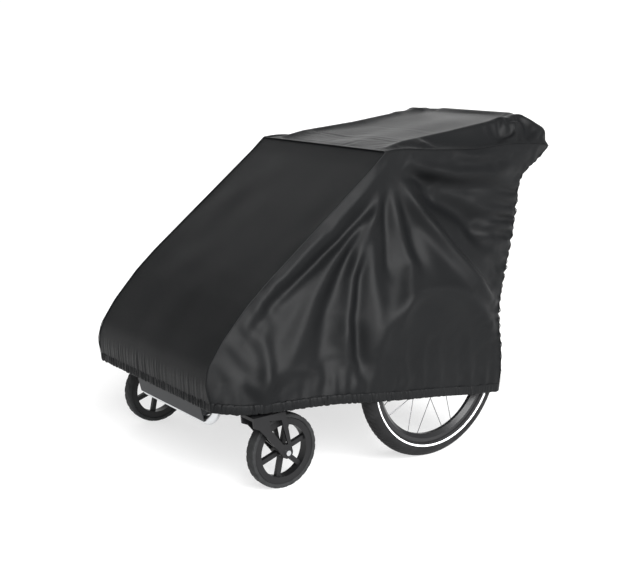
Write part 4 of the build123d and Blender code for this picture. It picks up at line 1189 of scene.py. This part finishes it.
def seatPad(name, pad, corner, across, along, outwards, width, length, thick):
    # two seats side by side: each is crowned, with sewn channels across it and a deep seam between them;
    # the underside is flat, and the sides pull in a little between the corners
    rows, columns = seatPads["rows"], seatPads["columns"]
    u = np.linspace(-1, 1, columns)[None]
    v = np.linspace(-1, 1, rows)[:, None]
    rim = (1 - np.abs(u) ** 10) * (1 - np.abs(v) ** 8)
    half = np.abs(u) * 2 - 1
    crown = (1 - np.abs(half) ** 3) * (1 - v ** 4)
    channel = np.abs(np.sin(np.pi * (v + 1) / 2 * pad["channels"])) ** 0.35
    sewn = 1 - pad["channelDepth"] * (1 - channel) * (1 - np.abs(half) ** 8)
    middleSeam = 1 - 0.35 * bell(u, 0, 0.014)
    height = np.sqrt(np.clip(rim, 0, 1)) * ((1 - pad["crown"]) + pad["crown"] * crown) * sewn * middleSeam
    height = thick * (0.12 + 0.86 * height * (1 + 0.02 * softNoise((rows, columns), (14, 20), 51)))
    under = thick * 0.12 * (1 - np.sqrt(np.clip(rim, 0, 1)))
    drawnU = u * (1 - seatPads["sideBow"] / (width / 2) * (1 - v ** 2))
    drawnV = v * (1 - seatPads["sideBow"] / (length / 2) * (1 - u ** 2))
    plan = (np.asarray(corner) + ((drawnU + 1) * width / 2)[..., None] * across
            + ((drawnV + 1) * length / 2)[..., None] * along)
    upper = plan + height[..., None] * outwards
    lower = plan + under[..., None] * outwards
    points = np.concatenate([upper.reshape(-1, 3), lower.reshape(-1, 3)])
    topFaces = gridFaces(rows, columns)
    lowFaces = gridFaces(rows, columns, flip=True) + rows * columns
    i, j = np.arange(columns), np.arange(rows)
    ring = np.concatenate([i, j[1:] * columns + columns - 1, (rows - 1) * columns + i[::-1][1:],
                           j[::-1][1:-1] * columns])
    nextRing = np.roll(ring, -1)
    walls = np.stack([ring, nextRing, nextRing + rows * columns, ring + rows * columns], 1)
    faces = outwardFaces(points, np.concatenate([topFaces, lowFaces, walls]))
    flat = np.stack(np.broadcast_arrays((u + 1) * width / 2, (v + 1) * length / 2), -1).reshape(-1, 2)
    piece = meshObject(name, points, faces, "trailer", seatCloth, np.concatenate([flat, flat]))
    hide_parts(pad["node"])
    return piece


seatCloth = wovenLook("seatCloth", (0.035, 0.037, 0.040), (0.062, 0.064, 0.068), thread=0.0016,
                      rough=0.75, sheen=0.15, weave=0.5)
webbing = wovenLook("webbing", (0.012, 0.012, 0.013), (0.03, 0.03, 0.031), thread=0.0019,
                    rough=0.55, sheen=0.1, weave=0.7)
baseLow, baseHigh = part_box("seat_base")
baseSize = [high - low for low, high in zip(baseLow, baseHigh)]
widthways = np.array([1.0, 0, 0])
seatPad("seatBase", seatPads["base"], tuple(baseLow), widthways, np.array([0, 1.0, 0]),
                   np.array([0, 0, 1.0]), *baseSize)
leanBack = math.radians(seatPads["back"]["lean"])
rise = np.array([0, math.sin(leanBack), math.cos(leanBack)])
faceOut = np.array([0, -math.cos(leanBack), math.sin(leanBack)])
seatFoot = np.array([0, baseHigh.y, baseHigh.z])
backThick = seatPads["back"]["thick"]
seatPad("seatBack", seatPads["back"], seatFoot + (-baseHigh.x, 0, 0) - faceOut * backThick + rise * 0.001,
                   widthways, rise, faceOut, 2 * baseHigh.x, seatPads["back"]["length"], backThick)


def harnessPiece():
    # four flat bands down the seat back, each a little waved, drawn thin at both ends
    steps, around = harness["steps"], harness["around"]
    t = np.linspace(0, 1, steps)
    taper = np.clip(np.minimum(t, 1 - t) * 120, 0.05, 1)
    wide, high = harness["width"] * (0.9 + 0.1 * taper), harness["thickness"] * taper
    points, faces, uv = [], [], []
    for k, centre in enumerate(harness["centres"]):
        lift = 0.0004 * np.sin(t * 9 + k) + 0.0004
        middle = (np.array([centre, 0, 0]) + seatFoot + rise * harness["foot"]
                  + t[:, None] * (rise * harness["length"]) + faceOut * (0.0016 + lift)[:, None])
        grid = sweptBand(middle, widthways, wide, high, around, False, 0.35)
        strap = grid.reshape(-1, 3)
        points.append(strap)
        faces.append(outwardFaces(strap, gridFaces(steps, around, False, True)) + k * steps * around)
        uv.append(bandUv(grid))
    piece = meshObject("harnessStraps", np.concatenate(points), np.concatenate(faces), "trailer", webbing,
                       np.concatenate(uv))
    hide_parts("harness_straps")
    return piece


harnessPiece()
print("seats ready")

# handlebar grip: a foam sleeve with rounded ends and shallow rings

grip = {"rings": 13, "ringDepth": 0.0004, "endRound": 0.004, "bore": 0.0112, "steps": 180, "around": 40}


def gripSleeve():
    # a tube about its bar: the radius falls at the ends along a quarter circle and dips at each ring
    low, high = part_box("handlebar_grip")
    middle, outer = (low + high) / 2, (high.z - low.z) / 2
    s = np.linspace(-1, 1, grip["steps"])[:, None]
    turn = np.linspace(0, 2 * np.pi, grip["around"], endpoint=False)[None]
    fromEnd = (1 - np.abs(s)) * (high.x - low.x) / 2
    curve = grip["endRound"]
    drop = curve - np.sqrt(np.clip(curve ** 2 - np.clip(curve - fromEnd, 0, curve) ** 2, 0, None))
    rings = grip["ringDepth"] * np.abs(np.sin(s * np.pi * grip["rings"] / 2)) ** 0.2
    radius = outer - drop - grip["ringDepth"] + rings
    grid = np.stack([middle.x + s * (high.x - low.x) / 2 + 0 * turn, middle.y + radius * np.sin(turn),
                     middle.z + radius * np.cos(turn)], -1)
    inner = grid[::-1].copy()
    around = np.stack([np.sin(turn), np.cos(turn)], -1)
    inner[..., 1:] = np.array([middle.y, middle.z]) + around * grip["bore"]
    tube = np.concatenate([grid, inner]).reshape(-1, 3)
    quads = outwardFaces(tube, gridFaces(2 * grip["steps"], grip["around"], True, True))
    piece = meshObject("gripSleeve", tube, quads, "handlebar", gripFoam)
    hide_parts("handlebar_grip")
    return piece


gripSleeve()

# floor

floorHalf = 30
floorCorners = [(x * floorHalf, y * floorHalf, 0) for x, y in ((-1, -1), (1, -1), (1, 1), (-1, 1))]
floor = meshObject("floor", floorCorners, [(0, 1, 2, 3)], None, floorLook)
print("all pieces ready")
